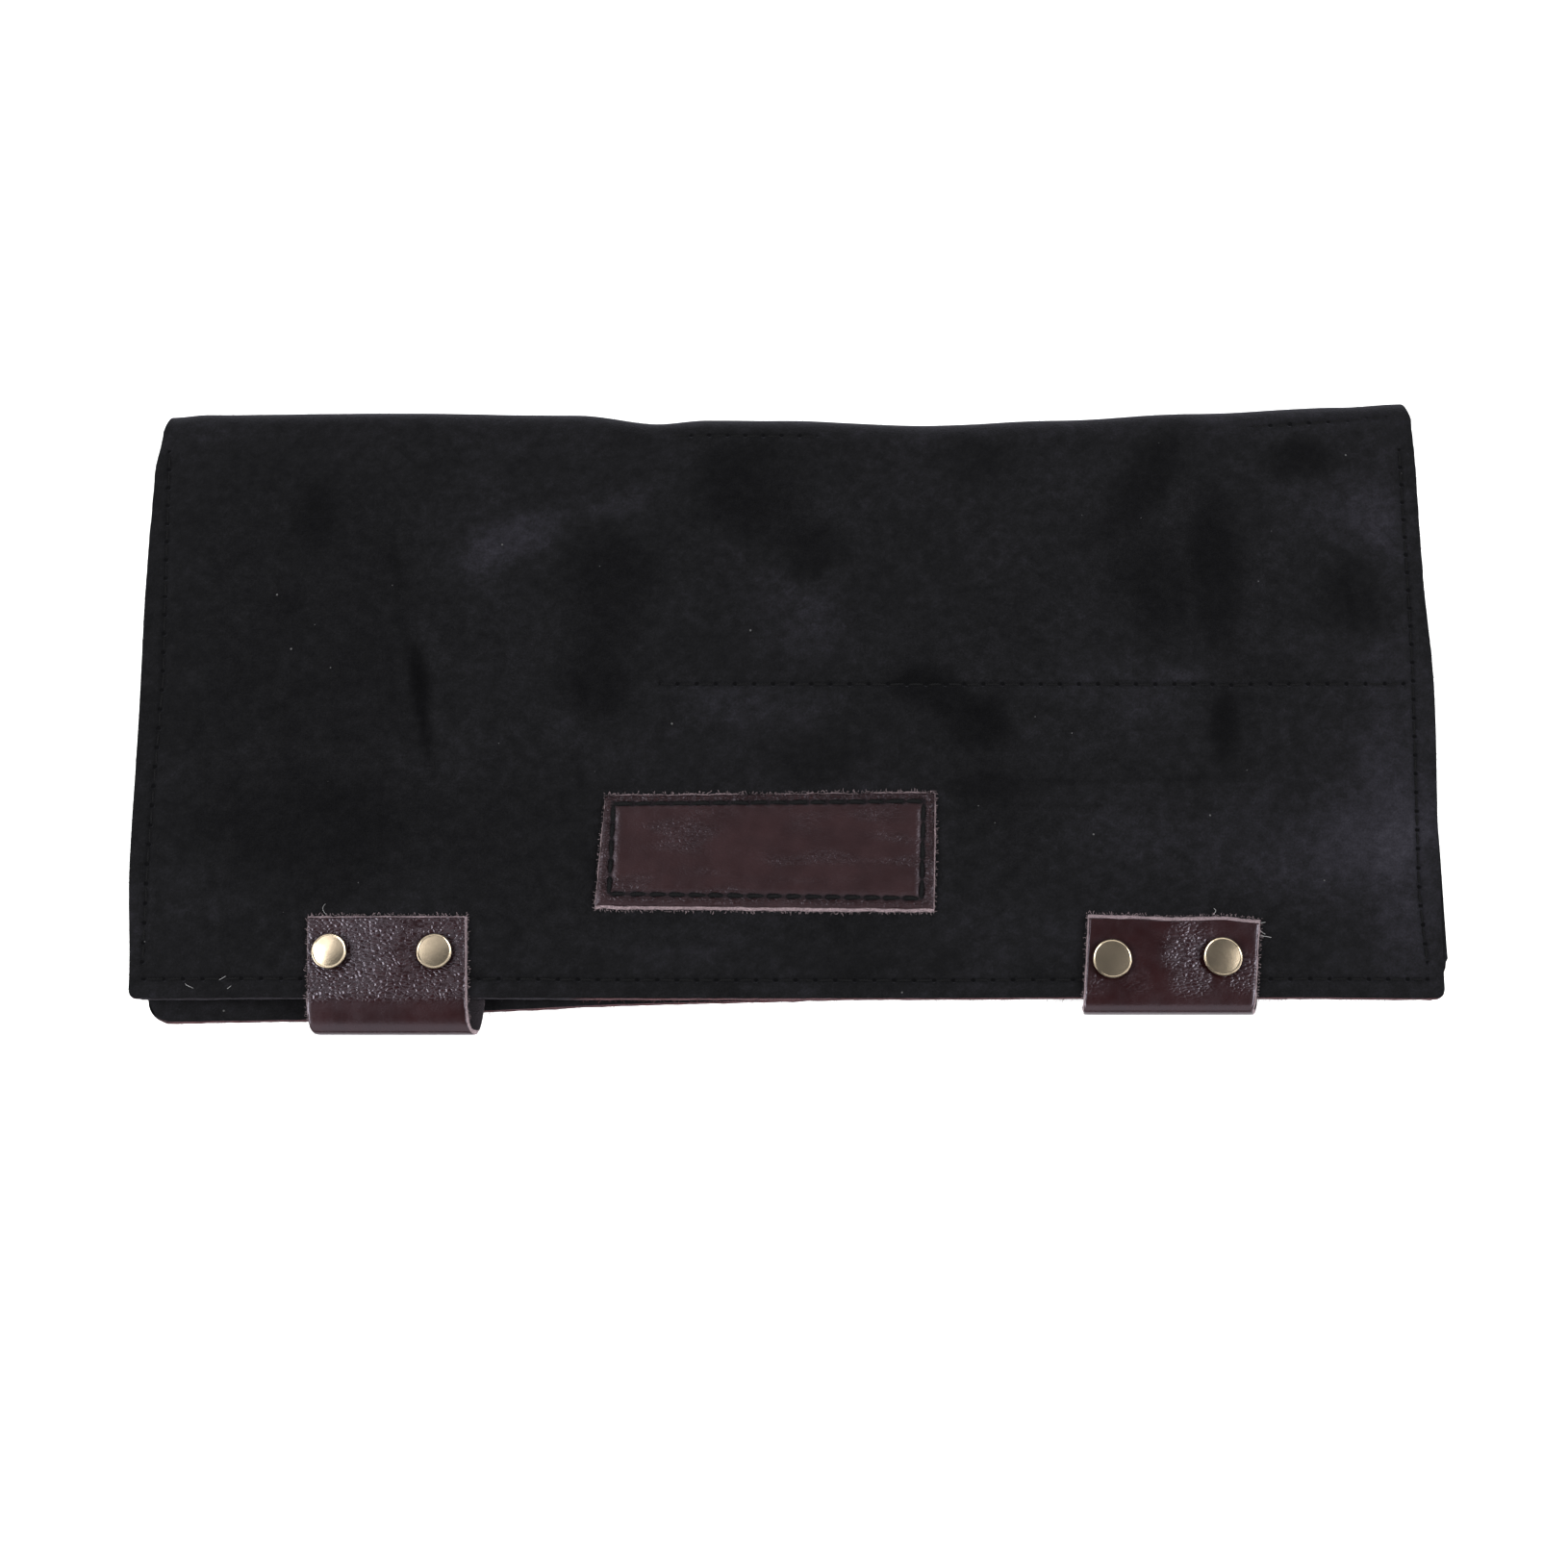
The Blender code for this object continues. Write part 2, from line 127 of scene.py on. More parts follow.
# Belt loops and rivets
Lean = namedtuple("Lean", "turned share")
Loop = namedtuple("Loop", "name centre width drop taper skew cap leans")
LOOPS = (
    Loop("left", -0.3011, 0.968, 1.00, 0.0, 0.108, 0.965, (
        Lean(0.00, 0.00), Lean(0.22, 0.16), Lean(0.34, 0.27), Lean(0.44, 0.46), Lean(0.54, 0.70),
        Lean(0.64, 0.86), Lean(0.74, 0.97), Lean(0.85, 1.08), Lean(1.00, 0.50),
    )),
    Loop("right", 0.2922, 1.051, 0.34, 0.3, -0.074, 1.065, (
        Lean(0.00, 0.00), Lean(0.22, 0.55), Lean(0.40, 0.72), Lean(0.60, 0.50), Lean(0.85, 0.30),
        Lean(1.00, 0.25),
    )),
)
Rivet = namedtuple("Rivet", "loop side across up")
RIVETS = (
    Rivet("left", "left", -0.348, 0.545), Rivet("left", "right", 0.308, 0.545),
    Rivet("right", "left", -0.374, 0.455), Rivet("right", "right", 0.263, 0.480),
)
Cap = namedtuple("Cap", "tilt_x tilt_y crown")
CAPS = {
    ("left", "left"): Cap(-0.6, -2.6, 0.00030), ("left", "right"): Cap(0.0, 0.8, 0.00016),
    ("right", "left"): Cap(0.3, 0.2, 0.00012), ("right", "right"): Cap(0.0, 1.0, 0.00020),
}
NOSE_SQUARENESS = 0.77
FRONT_HEM = 0.22
BACK_HEM_TURN = 0.85

# How far the right strap's cut end wanders from a straight line, and how far down the leg that shows
Wave = namedtuple("Wave", "across reach")
RIGHT_END = (Wave(0.0, 0.00050), Wave(0.22, 0.00020), Wave(0.50, -0.00030), Wave(0.77, 0.0), Wave(1.0, -0.00085))
WAVE_FADE = 0.009

# How the front legs swell between the rivets that press them down
SWELL_EDGE, SWELL_MIDDLE, SWELL_REACH = 0.00028, 0.00050, 0.0095
CAP_PRESS, CAP_PRESS_REACH = 0.92, 0.0024

# Label patch
PATCH_CENTRE = Vector((-0.0148, 0.2358))
Corner = namedtuple("Corner", "side top dx dy")
PATCH_CORNERS = (
    Corner(-1, -1, -0.013, 0.012), Corner(1, -1, -0.002, -0.016),
    Corner(-1, 1, 0.014, -0.014), Corner(1, 1, 0.006, 0.010),
)

# How finely the pieces are divided: (end, step) of each stretch, and the columns and rows of the even ones
PANEL_LENGTH = 0.1475
ACROSS_STEPS = ((0.0012, 0.0003), (0.0090, 0.0007), (0.3160, 0.00145), (0.3238, 0.0007), (CASE_WIDTH, 0.0003))
FLAP_STEPS = ((0.0030, 0.0006), (0.0065, 0.0005), (0.0760, 0.00125), (0.0815, 0.0006), (PANEL_LENGTH, 0.00135))
BACK_STEPS = ((0.0060, 0.0010), (PANEL_LENGTH, 0.0047))
LINING_BACK_STEPS = ((0.0060, 0.0020), (PANEL_LENGTH, 0.0036))
FOLD_ROWS = 16
LINING_COLUMNS, LINING_FLAP_ROWS = 110, 52
PATCH_COLUMNS, PATCH_ROWS = 180, 66
STRAP_COLUMNS, STRAP_ROWS = 84, 130
RIM_SHARES = (0.06, 0.30, 0.60, 0.90)

# Rows of stitches on the flap, each a line of (x, y)
Seam = namedtuple("Seam", "bow line")
SEAMS = (
    Seam(0.00055, ((-0.1572, 0.0048), (-0.1368, 0.0047), (-0.0042, 0.0045), (0.0663, 0.0044), (0.1566, 0.0047))),
    Seam(0.00030, ((-0.1578, 0.0089), (-0.1580, 0.0328), (-0.1573, 0.0522), (-0.1562, 0.0800), (-0.1582, 0.1405))),
    Seam(0.00045, ((0.1568, 0.0087), (0.1558, 0.0255), (0.1561, 0.0429), (0.1569, 0.0807), (0.1570, 0.1410))),
    Seam(0.00032, ((-0.0321, 0.0788), (0.0681, 0.0787), (0.1545, 0.0788))),
    Seam(0.00015, ((-0.0292, 0.1452), (0.0080, 0.1448))),
    Seam(0.00015, ((0.1194, 0.1474), (0.1543, 0.1500))),
)
PATCH_SEAM = ((-0.0429, 0.0480), (0.0339, 0.0487), (0.0331, 0.0245), (-0.0437, 0.0256))
SEAM_REACH = 0.0060
NO_SEAM = (0.0, SEAM_REACH, 0.0)
GROOVE_REACH = 0.0009
PUFF_SHARE, PUFF_BESIDE, PUFF_REACH = 0.30, 0.0022, 0.0011

# Spots of brushed nap, and broader spots that make the left part of the flap darker and much of its right side
# lighter: (x, y) of a spot, its reach both ways, its turn in degrees and how dark it is (light below 0)
Nap = namedtuple("Nap", "x y reach_x reach_y turn dark")
NAP = (
    Nap(-0.1200, 0.1234, 0.0074, 0.0135, 0, 1.0), Nap(-0.1254, 0.1004, 0.0061, 0.0048, 0, 0.6),
    Nap(-0.1149, 0.0833, 0.0260, 0.0239, 0, 0.35), Nap(-0.0918, 0.0744, 0.0018, 0.0200, 10, 1.4),
    Nap(-0.0985, 0.1061, 0.0013, 0.0239, 6, 0.6), Nap(-0.0693, 0.1153, 0.0163, 0.0074, 28, -1.0),
    Nap(-0.0421, 0.1269, 0.0130, 0.0043, 25, -0.5), Nap(-0.0429, 0.1049, 0.0126, 0.0184, 0, 0.9),
    Nap(-0.0478, 0.0800, 0.0104, 0.0104, 0, 0.9), Nap(-0.0081, 0.1293, 0.0163, 0.0141, 0, 0.9),
    Nap(0.0073, 0.1153, 0.0087, 0.0098, -40, 0.9), Nap(0.0471, 0.1375, 0.0130, 0.0076, 0, 0.5),
    Nap(0.0331, 0.0788, 0.0098, 0.0048, 10, 1.1), Nap(0.0480, 0.0688, 0.0087, 0.0082, -30, 1.2),
    Nap(0.0900, 0.1316, 0.0206, 0.0069, 52, 0.9), Nap(0.1088, 0.1084, 0.0065, 0.0239, 0, 1.1),
    Nap(0.0944, 0.1038, 0.0119, 0.0195, 0, 0.8), Nap(0.1092, 0.0688, 0.0039, 0.0100, 0, 1.5),
    Nap(0.1326, 0.1375, 0.0082, 0.0082, 0, 1.0), Nap(0.1467, 0.1038, 0.0108, 0.0119, -35, 1.0),
    Nap(0.0071, 0.0599, 0.0141, 0.0072, 0, 0.5), Nap(-0.1138, 0.0400, 0.0400, 0.0180, 0, 0.75),
    Nap(0.0508, 0.0522, 0.0098, 0.0054, 0, 0.7), Nap(0.0851, 0.0544, 0.0434, 0.0011, 2, 0.4),
    Nap(0.0657, 0.0478, 0.0239, 0.0009, 0, 0.3), Nap(0.1101, 0.0412, 0.0456, 0.0152, 0, -0.5),
    Nap(0.1464, 0.0456, 0.0130, 0.0260, 0, -0.4), Nap(0.1423, 0.1223, 0.0195, 0.0108, 0, -0.5),
    Nap(-0.1464, 0.0326, 0.0152, 0.0174, 0, -0.1), Nap(0.0018, 0.0992, 0.0195, 0.0130, 0, -0.35),
    Nap(-0.0090, 0.0744, 0.0195, 0.0076, 0, -0.4), Nap(0.0815, 0.0766, 0.0195, 0.0087, 0, -0.4),
    Nap(0.1001, 0.0822, 0.0061, 0.0026, 0, -0.6), Nap(-0.0922, 0.0800, 0.0028, 0.0105, 9, 1.7),
    Nap(0.0410, 0.0750, 0.0090, 0.0060, -35, 1.0), Nap(0.1530, 0.0700, 0.0110, 0.0850, 0, -0.5),
    Nap(0.1250, 0.1490, 0.0450, 0.0055, 3, -0.4), Nap(0.1440, 0.0300, 0.0190, 0.0260, 0, -0.3),
    Nap(-0.1620, 0.0180, 0.0055, 0.0120, 0, -0.4), Nap(-0.0300, 0.0120, 0.0220, 0.0070, 0, -0.35),
    Nap(-0.1500, 0.1450, 0.0200, 0.0060, 0, -0.3), Nap(0.0300, 0.1480, 0.0600, 0.0040, -2, -0.3),
    Nap(-0.1000, 0.0600, 0.0180, 0.0100, 20, -0.25), Nap(0.0650, 0.0150, 0.0350, 0.0100, 0, -0.2),
    Nap(-0.0600, 0.0350, 0.0300, 0.0250, 0, 0.25), Nap(0.0200, 0.0120, 0.0300, 0.0100, 0, 0.2),
    Nap(0.1200, 0.0900, 0.0350, 0.0060, 0, -0.2), Nap(-0.1300, 0.0850, 0.0480, 0.0800, 0, 0.38),
)

# Where a belt loop's grain stands up: a spot's place, its reach and its strength
Spot = namedtuple("Spot", "x y reach strength")
LEFT_GRAIN = (
    Spot(-0.1060, 0.0080, 0.0100, 1.0), Spot(-0.1010, 0.0150, 0.0090, 0.8), Spot(-0.1150, 0.0030, 0.0070, 1.0),
    Spot(-0.0820, 0.0120, 0.0060, 1.0), Spot(-0.0850, 0.0040, 0.0080, 0.7), Spot(-0.0930, 0.0060, 0.0080, 0.6),
    Spot(-0.1140, 0.0180, 0.0050, 0.6),
)
RIGHT_GRAIN = (
    Spot(0.0968, 0.0110, 0.0062, 0.65), Spot(0.0980, 0.0050, 0.0055, 0.50), Spot(0.0850, 0.0045, 0.0042, 0.32),
    Spot(0.0735, 0.0025, 0.0046, 0.32), Spot(0.1108, 0.0060, 0.0052, 0.50), Spot(0.0985, 0.0165, 0.0055, 0.35),
)

# Loose fibres and lint: where each starts, how far it reaches, and how high it bows
Strand = namedtuple("Strand", "x y dx dy bow width")
STRANDS = (
    Strand(-0.1470, 0.0036, 0.0022, -0.0012, 0.0005, 0.00008),
    Strand(-0.1364, 0.0022, 0.0009, 0.0007, 0.0003, 0.00010),
    Strand(-0.1134, 0.0232, 0.0004, -0.0028, 0.0006, 0.00007),
    Strand(0.1150, 0.0180, 0.0024, 0.0006, 0.0009, 0.00011),
    Strand(0.1152, 0.0172, 0.0020, -0.0016, 0.0007, 0.00011),
    Strand(0.1150, 0.0152, 0.0036, -0.0004, 0.0008, 0.00011),
    Strand(0.1046, 0.0204, 0.0003, 0.0017, 0.0008, 0.00010),
    Strand(-0.1386, 0.0044, 0.0016, 0.0009, 0.0005, 0.00009),
)


def smooth(value):
    """Ease from 0 to 1 as value goes from 0 to 1."""
    t = min(max(value, 0.0), 1.0)
    return t * t * (3.0 - 2.0 * t)


def mix(start, end, share):
    return start + (end - start) * share


def read_table(rows, at, column, ease=smooth):
    """The value of a column between the two rows that lie around a place in the first column."""
    for low, high in zip(rows, rows[1:]):
        if at <= high[0]:
            share = ease((at - low[0]) / (high[0] - low[0]))
            return getattr(low, column) * (1.0 - share) + getattr(high, column) * share
    return getattr(rows[-1], column)


def corner_trim(from_side, radius):
    if from_side >= radius:
        return 0.0
    return radius - math.sqrt(radius ** 2 - (radius - from_side) ** 2)


def loop_centre(loop):
    return loop.centre * CASE_WIDTH


def loop_width(loop):
    return loop.width * STRAP_WIDTH


def droop_share(x):
    """1 where the hem hangs free, 0 where a loop and its rivets hold it up."""
    share = 1.0
    for loop in LOOPS:
        level = loop_width(loop) / 2 + COLUMN_STEP
        share *= smooth((abs(x - loop_centre(loop)) - level) / DROOP_RUN)
    return share


def crease_dent(x, y):
    dent = 0.0
    for crease in CREASES:
        start = Vector((crease.x0 * CASE_WIDTH, crease.y0 * CASE_DEPTH))
        run = Vector((crease.x1 * CASE_WIDTH, crease.y1 * CASE_DEPTH)) - start
        offset = Vector((x, y)) - start
        along = min(max(offset.dot(run) / run.length_squared, 0.0), 1.0)
        distance = (offset - run * along).length
        dent += crease.depth * CREASE_DEPTH * (1.0 - smooth(distance / (crease.reach * CASE_WIDTH)))
    return dent


def flap_height(x, y):
    height = FLAP_TOP + (FOLD_HEIGHT - FLAP_TOP) * smooth((y - LEVEL_END) / (RISE_END - LEVEL_END))
    height -= HEM_DROOP * droop_share(x) * (1.0 - smooth(y / (DROOP_END * CASE_DEPTH)))
    near_fold = smooth((CASE_DEPTH - FOLD_REACH - y) / FOLD_REACH)
    return height - crease_dent(x, y) * near_fold


def crest_y(across):
    return read_table(CREST_LINE, across, "y") * CASE_DEPTH


def side_x(across, along):
    left = (read_table(SIDE_EDGES, along, "left") - 0.5) * CASE_WIDTH
    right = (0.5 - read_table(SIDE_EDGES, along, "right")) * CASE_WIDTH
    return left + across * (right - left)


def flap_point(across, along):
    from_side = min(across, 1.0 - across) * CASE_WIDTH
    hem = corner_trim(from_side, FLAP_CORNER_RADIUS)
    end = crest_y(across) - FOLD_REACH
    x = side_x(across, along)
    y = hem + along * (end - hem)
    blend = smooth((along - FOLD_BLEND) / (1.0 - FOLD_BLEND))
    return Vector((x, y, flap_height(x, y) * (1.0 - blend) + FOLD_HEIGHT * blend))


def fold_point(across, turn):
    angle = math.pi * (0.5 - turn)
    x = side_x(across, 1.0) + FOLD_TUCK * (1.0 - 2.0 * across) * math.cos(angle)
    y = crest_y(across) - FOLD_REACH * (1.0 - math.cos(angle))
    return Vector((x, y, FOLD_HEIGHT / 2 * (1.0 + math.sin(angle))))


def back_point(across, along):
    from_side = min(across, 1.0 - across) * CASE_WIDTH
    hem = read_table(BACK_HEM, across, "y", ease=float) * CASE_DEPTH
    hem += corner_trim(from_side, BACK_CORNER_RADIUS)
    end = crest_y(across) - FOLD_REACH
    x = side_x(across, along) + mix(BACK_SHEAR_LEFT, BACK_SHEAR_RIGHT, across) * (1.0 - along)
    return Vector((x, hem + along * (end - hem), 0.0))


def calm(x, y):
    """0 at the loops, where the rivets hold the flap flat, and 1 away from them."""
    share = 1.0
    for loop in LOOPS:
        beside = max(abs(x - loop_centre(loop)) - loop_width(loop) / 2, 0.0)
        share *= smooth(math.hypot(beside, max(y - STRAP_LEG, 0.0)) / 0.015)
    return share


def flap_relief(x, y):
    """The soft unevenness of a hand-cut hide."""
    place = Vector((x, y, 0.0))
    broad = noise.noise(place / 0.046 + Vector((3.1, 0.0, 0.0))) * 0.00032
    small = noise.noise(place / 0.0115) * 0.00010
    return (broad + small) * calm(x, y)


# Seams

def seam_steps(line, pitch):
    """How many stitches a line takes."""
    length = sum((Vector(b) - Vector(a)).length for a, b in zip(line, line[1:]))
    return max(2, round(length / pitch)), length


def nearest_on_line(x, y, line):
    """(distance along the line, distance beside it, left of it above 0) of the line's nearest place."""
    best, run_up = None, 0.0
    place = Vector((x, y))
    for start, end in zip(line, line[1:]):
        a, b = Vector(start), Vector(end)
        run = b - a
        length = run.length
        along = min(max((place - a).dot(run) / length ** 2, 0.0), 1.0)
        offset = place - a - run * along
        beside = math.copysign(offset.length, run.cross(offset) if run.cross(offset) else 1.0)
        if best is None or abs(beside) < abs(best[1]):
            best = (run_up + along * length, beside)
        run_up += length
    return best


def seam_coordinates(x, y, lines, pitch):
    """(stitches along, metres beside, 1 near a seam) for the seam that is nearest to a place."""
    best = NO_SEAM
    for line in lines:
        low_x, high_x = min(p[0] for p in line), max(p[0] for p in line)
        low_y, high_y = min(p[1] for p in line), max(p[1] for p in line)
        if not (low_x - SEAM_REACH < x < high_x + SEAM_REACH and low_y - SEAM_REACH < y < high_y + SEAM_REACH):
            continue
        along, beside = nearest_on_line(x, y, line)
        if abs(beside) < abs(best[1]):
            count, length = seam_steps(line, pitch)
            best = (along / length * count, beside, 1.0)
    return best


def seam_relief(stitches, beside, depth):
    """A seam's groove, deeper at its holes, with the hide puffed up a little on both sides."""
    hole = 0.5 + 0.5 * math.cos(2.0 * math.pi * stitches)
    groove = depth * math.exp(-(beside / GROOVE_REACH) ** 2) * (0.45 + 0.55 * hole)
    away = (abs(beside) - PUFF_BESIDE) / PUFF_REACH
    return depth * PUFF_SHARE * math.exp(-away ** 2) * (0.4 + 0.6 * (1.0 - hole)) - groove


# Meshes

def graded(stretches):
    """Places as shares of the whole, from (end, step) stretches."""
    places, start = [0.0], 0.0
    for end, step in stretches:
        count = max(1, round((end - start) / step))
        places += [start + (end - start) * i / count for i in range(1, count + 1)]
        start = end
    return [place / start for place in places]


def grid_normals(grid):
    """The outward normal at each point of a grid whose rows run up and whose columns run right."""
    rows, columns = len(grid), len(grid[0])
    normals = []
    for r in range(rows):
        low, high = grid[max(r - 1, 0)], grid[min(r + 1, rows - 1)]
        row = []
        for c in range(columns):
            right = grid[r][min(c + 1, columns - 1)] - grid[r][max(c - 1, 0)]
            row.append(right.cross(high[c] - low[c]).normalized())
        normals.append(row)
    return normals


def border_of(rows, columns):
    """The border's (row, column) places, once round."""
    return (
        [(0, c) for c in range(columns - 1)] + [(r, columns - 1) for r in range(rows - 1)]
        + [(rows - 1, c) for c in range(columns - 1, 0, -1)] + [(r, 0) for r in range(rows - 1, 0, -1)]
    )


def walled(outer, inner, bulge, ragged):
    """Points and faces of a closed sheet, with a rim of several loops between its two faces' borders.

    Returned with them are the places on the border, in the order that each of the rim's loops has.
    """
    rows, columns = len(outer), len(outer[0])
    half = rows * columns
    points = [point for row in outer for point in row] + [point for row in inner for point in row]
    faces = []
    for r in range(rows - 1):
        for c in range(columns - 1):
            first = r * columns + c
            quad = (first, first + 1, first + columns + 1, first + columns)
            faces.append(quad)
            faces.append(tuple(half + corner for corner in reversed(quad)))
    border = border_of(rows, columns)
    loops = [[r * columns + c for r, c in border]]
    for share in RIM_SHARES:
        loop = []
        for r, c in border:
            near = outer[min(max(r, 1), rows - 2)][min(max(c, 1), columns - 2)]
            out = (outer[r][c] - near).normalized()
            place = outer[r][c].lerp(inner[r][c], share)
            rough = noise.noise(place / 0.0009 + Vector((0.0, 0.0, share * 7.0))) + noise.noise(place / 0.004)
            loop.append(len(points))
            points.append(place + out * (bulge * math.sin(math.pi * share) + ragged * rough))
        loops.append(loop)
    loops.append([half + corner for corner in loops[0]])
    for upper, lower in zip(loops, loops[1:]):
        for i in range(len(border)):
            j = (i + 1) % len(border)
            faces.append((upper[i], lower[i], lower[j], upper[j]))
    return points, faces, border


def add_object(name, mesh):
    piece = bpy.data.objects.new(name, mesh)
    bpy.context.scene.collection.objects.link(piece)
    return piece


def face_outwards(mesh):
    shell = bmesh.new()
    shell.from_mesh(mesh)
    bmesh.ops.recalc_face_normals(shell, faces=shell.faces)
    shell.to_mesh(mesh)
    shell.free()


def make_piece(name, points, faces, material, values=None):
    """A closed, smooth piece; values holds the named numbers or vectors of its points."""
    mesh = bpy.data.meshes.new(name)
    mesh.from_pydata([point + TO_FRAME for point in points], [], faces)
    for key, numbers in (values or {}).items():
        if isinstance(numbers[0], Vector):
            layer = mesh.attributes.new(key, "FLOAT_VECTOR", "POINT")
            layer.data.foreach_set("vector", [part for vector in numbers for part in vector])
        else:
            layer = mesh.attributes.new(key, "FLOAT", "POINT")
            layer.data.foreach_set("value", numbers)
    face_outwards(mesh)
    mesh.shade_smooth()
    mesh.materials.append(material)
    return add_object(name, mesh)


def tube(points, path, radius, sides=5):
    """Add a thin tube with closed ends along a path to the points; returns its faces."""
    faces, rings = [], []
    for i, place in enumerate(path):
        ahead = (path[min(i + 1, len(path) - 1)] - path[max(i - 1, 0)]).normalized()
        across = ahead.cross(UP)
        across = across.normalized() if across.length > 1e-6 else Vector((1.0, 0.0, 0.0))
        over = across.cross(ahead)
        ring = []
        for side in range(sides):
            angle = 2.0 * math.pi * side / sides
            ring.append(len(points))
            points.append(place + (across * math.cos(angle) + over * math.sin(angle)) * radius)
        rings.append(ring)
    for low, high in zip(rings, rings[1:]):
        faces += [(low[i], low[(i + 1) % sides], high[(i + 1) % sides], high[i]) for i in range(sides)]
    return faces + [tuple(reversed(rings[0])), tuple(rings[-1])]


# Node trees

FLOAT, INTEGER, VECTOR, COLOR = "NodeSocketFloat", "NodeSocketInt", "NodeSocketVector", "NodeSocketColor"
MATERIAL, GEOMETRY = "NodeSocketMaterial", "NodeSocketGeometry"


class Graph:
    """Adds nodes to a tree: an input that is given a socket is joined to it, any other is set."""

    def __init__(self, tree):
        self.tree = tree

    def set_input(self, socket, value):
        if isinstance(value, bpy.types.NodeSocket):
            self.tree.links.new(value, socket)
        else:
            socket.default_value = value

    def add(self, kind, inputs=None, **settings):
        node = self.tree.nodes.new(kind)
        placed = len(self.tree.nodes)
        node.location = (placed % 10 * 220.0, placed // 10 * -320.0)
        for key, value in settings.items():
            setattr(node, key, value)
        for key, value in (inputs or {}).items():
            self.set_input(node.inputs[key], value)
        return node

    def first(self, kind, inputs=None, **settings):
        """The first output of a new node."""
        return self.add(kind, inputs, **settings).outputs[0]

    def math(self, operation, a, b=0.0, c=0.0):
        return self.first("ShaderNodeMath", {0: a, 1: b, 2: c}, operation=operation)

    def times(self, a, b):
        return self.math("MULTIPLY", a, b)

    def plus_times(self, a, b, c):
        """a times b, plus c."""
        return self.math("MULTIPLY_ADD", a, b, c)

    def rest(self, value):
        """What is left of 1."""
        return self.math("SUBTRACT", 1.0, value)

    def minus(self, value):
        return self.times(value, -1.0)

    def vector(self, operation, a, b):
        second = "Scale" if operation == "SCALE" else 1
        return self.first("ShaderNodeVectorMath", {0: a, second: b}, operation=operation)

    def combine(self, x, y, z):
        return self.first("ShaderNodeCombineXYZ", {0: x, 1: y, 2: z})

    def blend(self, share, a, b):
        """A colour between two others."""
        return self.add("ShaderNodeMix", {0: share, 6: a, 7: b}, data_type="RGBA").outputs[2]

    def ramp(self, value, low, high):
        """0 to 1, eased, as value goes from low to high."""
        inputs = {"Value": value, "From Min": low, "From Max": high}
        return self.first("ShaderNodeMapRange", inputs, interpolation_type="SMOOTHSTEP")

    def noise(self, place, scale, detail=2.0, roughness=0.5):
        inputs = {"Vector": place, "Scale": scale, "Detail": detail, "Roughness": roughness}
        return self.add("ShaderNodeTexNoise", inputs).outputs["Fac"]

    def bump(self, height, distance, strength):
        return self.first("ShaderNodeBump", {"Height": height, "Distance": distance, "Strength": strength})

    def group(self, name, **inputs):
        return self.add("ShaderNodeGroup", inputs, node_tree=shader_group(name)).outputs

    def attribute(self, name, output="Fac"):
        return self.add("ShaderNodeAttribute", attribute_name=name).outputs[output]


def new_group(name, kind, inputs, outputs):
    """A node group with named sockets: (name, socket type, default) in and (name, socket type) out."""
    tree = bpy.data.node_groups.new(name, kind)
    for label, socket, default in inputs:
        made = tree.interface.new_socket(name=label, in_out="INPUT", socket_type=socket)
        if default is not None:
            made.default_value = default
    for label, socket in outputs:
        tree.interface.new_socket(name=label, in_out="OUTPUT", socket_type=socket)
    graph = Graph(tree)
    return graph, graph.add("NodeGroupInput").outputs, graph.add("NodeGroupOutput")


# Shader groups

def hide_grain(graph, given):
    """Raised pebbles with creases between them, broken up by finer unevenness; the Crease output is used to paint
    shade into the creases.
    """
    warp = graph.add("ShaderNodeTexNoise", {"Vector": given["Place"], "Scale": 160.0, "Detail": 2.0})
    pull = graph.vector("SUBTRACT", warp.outputs["Color"], (0.5, 0.5, 0.5))
    place = graph.vector("ADD", given["Place"], graph.vector("SCALE", pull, 0.0011))
    stretched = graph.vector("MULTIPLY", place, (0.62, 1.20, 1.0))
    cells = graph.add(
        "ShaderNodeTexVoronoi", {"Vector": stretched, "Scale": given["Scale"]}, feature="DISTANCE_TO_EDGE",
    )
    pebbles = graph.ramp(cells.outputs["Distance"], 0.0, 0.32)
    height = graph.times(pebbles, given["Strength"])
    height = graph.plus_times(graph.noise(given["Place"], 4200.0), 0.06, height)
    height = graph.plus_times(graph.noise(given["Place"], 420.0), 0.10, height)
    return {"Height": height, "Crease": graph.times(graph.rest(pebbles), given["Strength"])}


def cut_edge(graph, given):
    """The raw edge of a cut hide: its colour over the face's, uneven along the edge."""
    uneven = graph.noise(given["Place"], 700.0, 3.0, 0.6)
    share = graph.times(given["Cut"], graph.ramp(uneven, 0.15, 0.42))
    threads = graph.noise(given["Place"], 3800.0)
    shaded = graph.blend(graph.ramp(threads, 0.3, 0.7), given["Dark"], given["Light"])
    return {"Color": graph.blend(share, given["Face"], shaded), "Share": share, "Height": threads}


def dust(graph, given):
    """Small light specks, far apart."""
    cells = graph.add("ShaderNodeTexVoronoi", {"Vector": given["Place"], "Scale": given["Scale"]}).outputs
    parts = graph.add("ShaderNodeSeparateColor", {0: cells["Color"]}).outputs
    chosen = graph.math("GREATER_THAN", parts[0], graph.rest(given["Share"]))
    size = graph.times(given["Size"], graph.plus_times(parts[1], 0.8, 0.4))
    return {"Mask": graph.times(chosen, graph.math("LESS_THAN", cells["Distance"], size))}


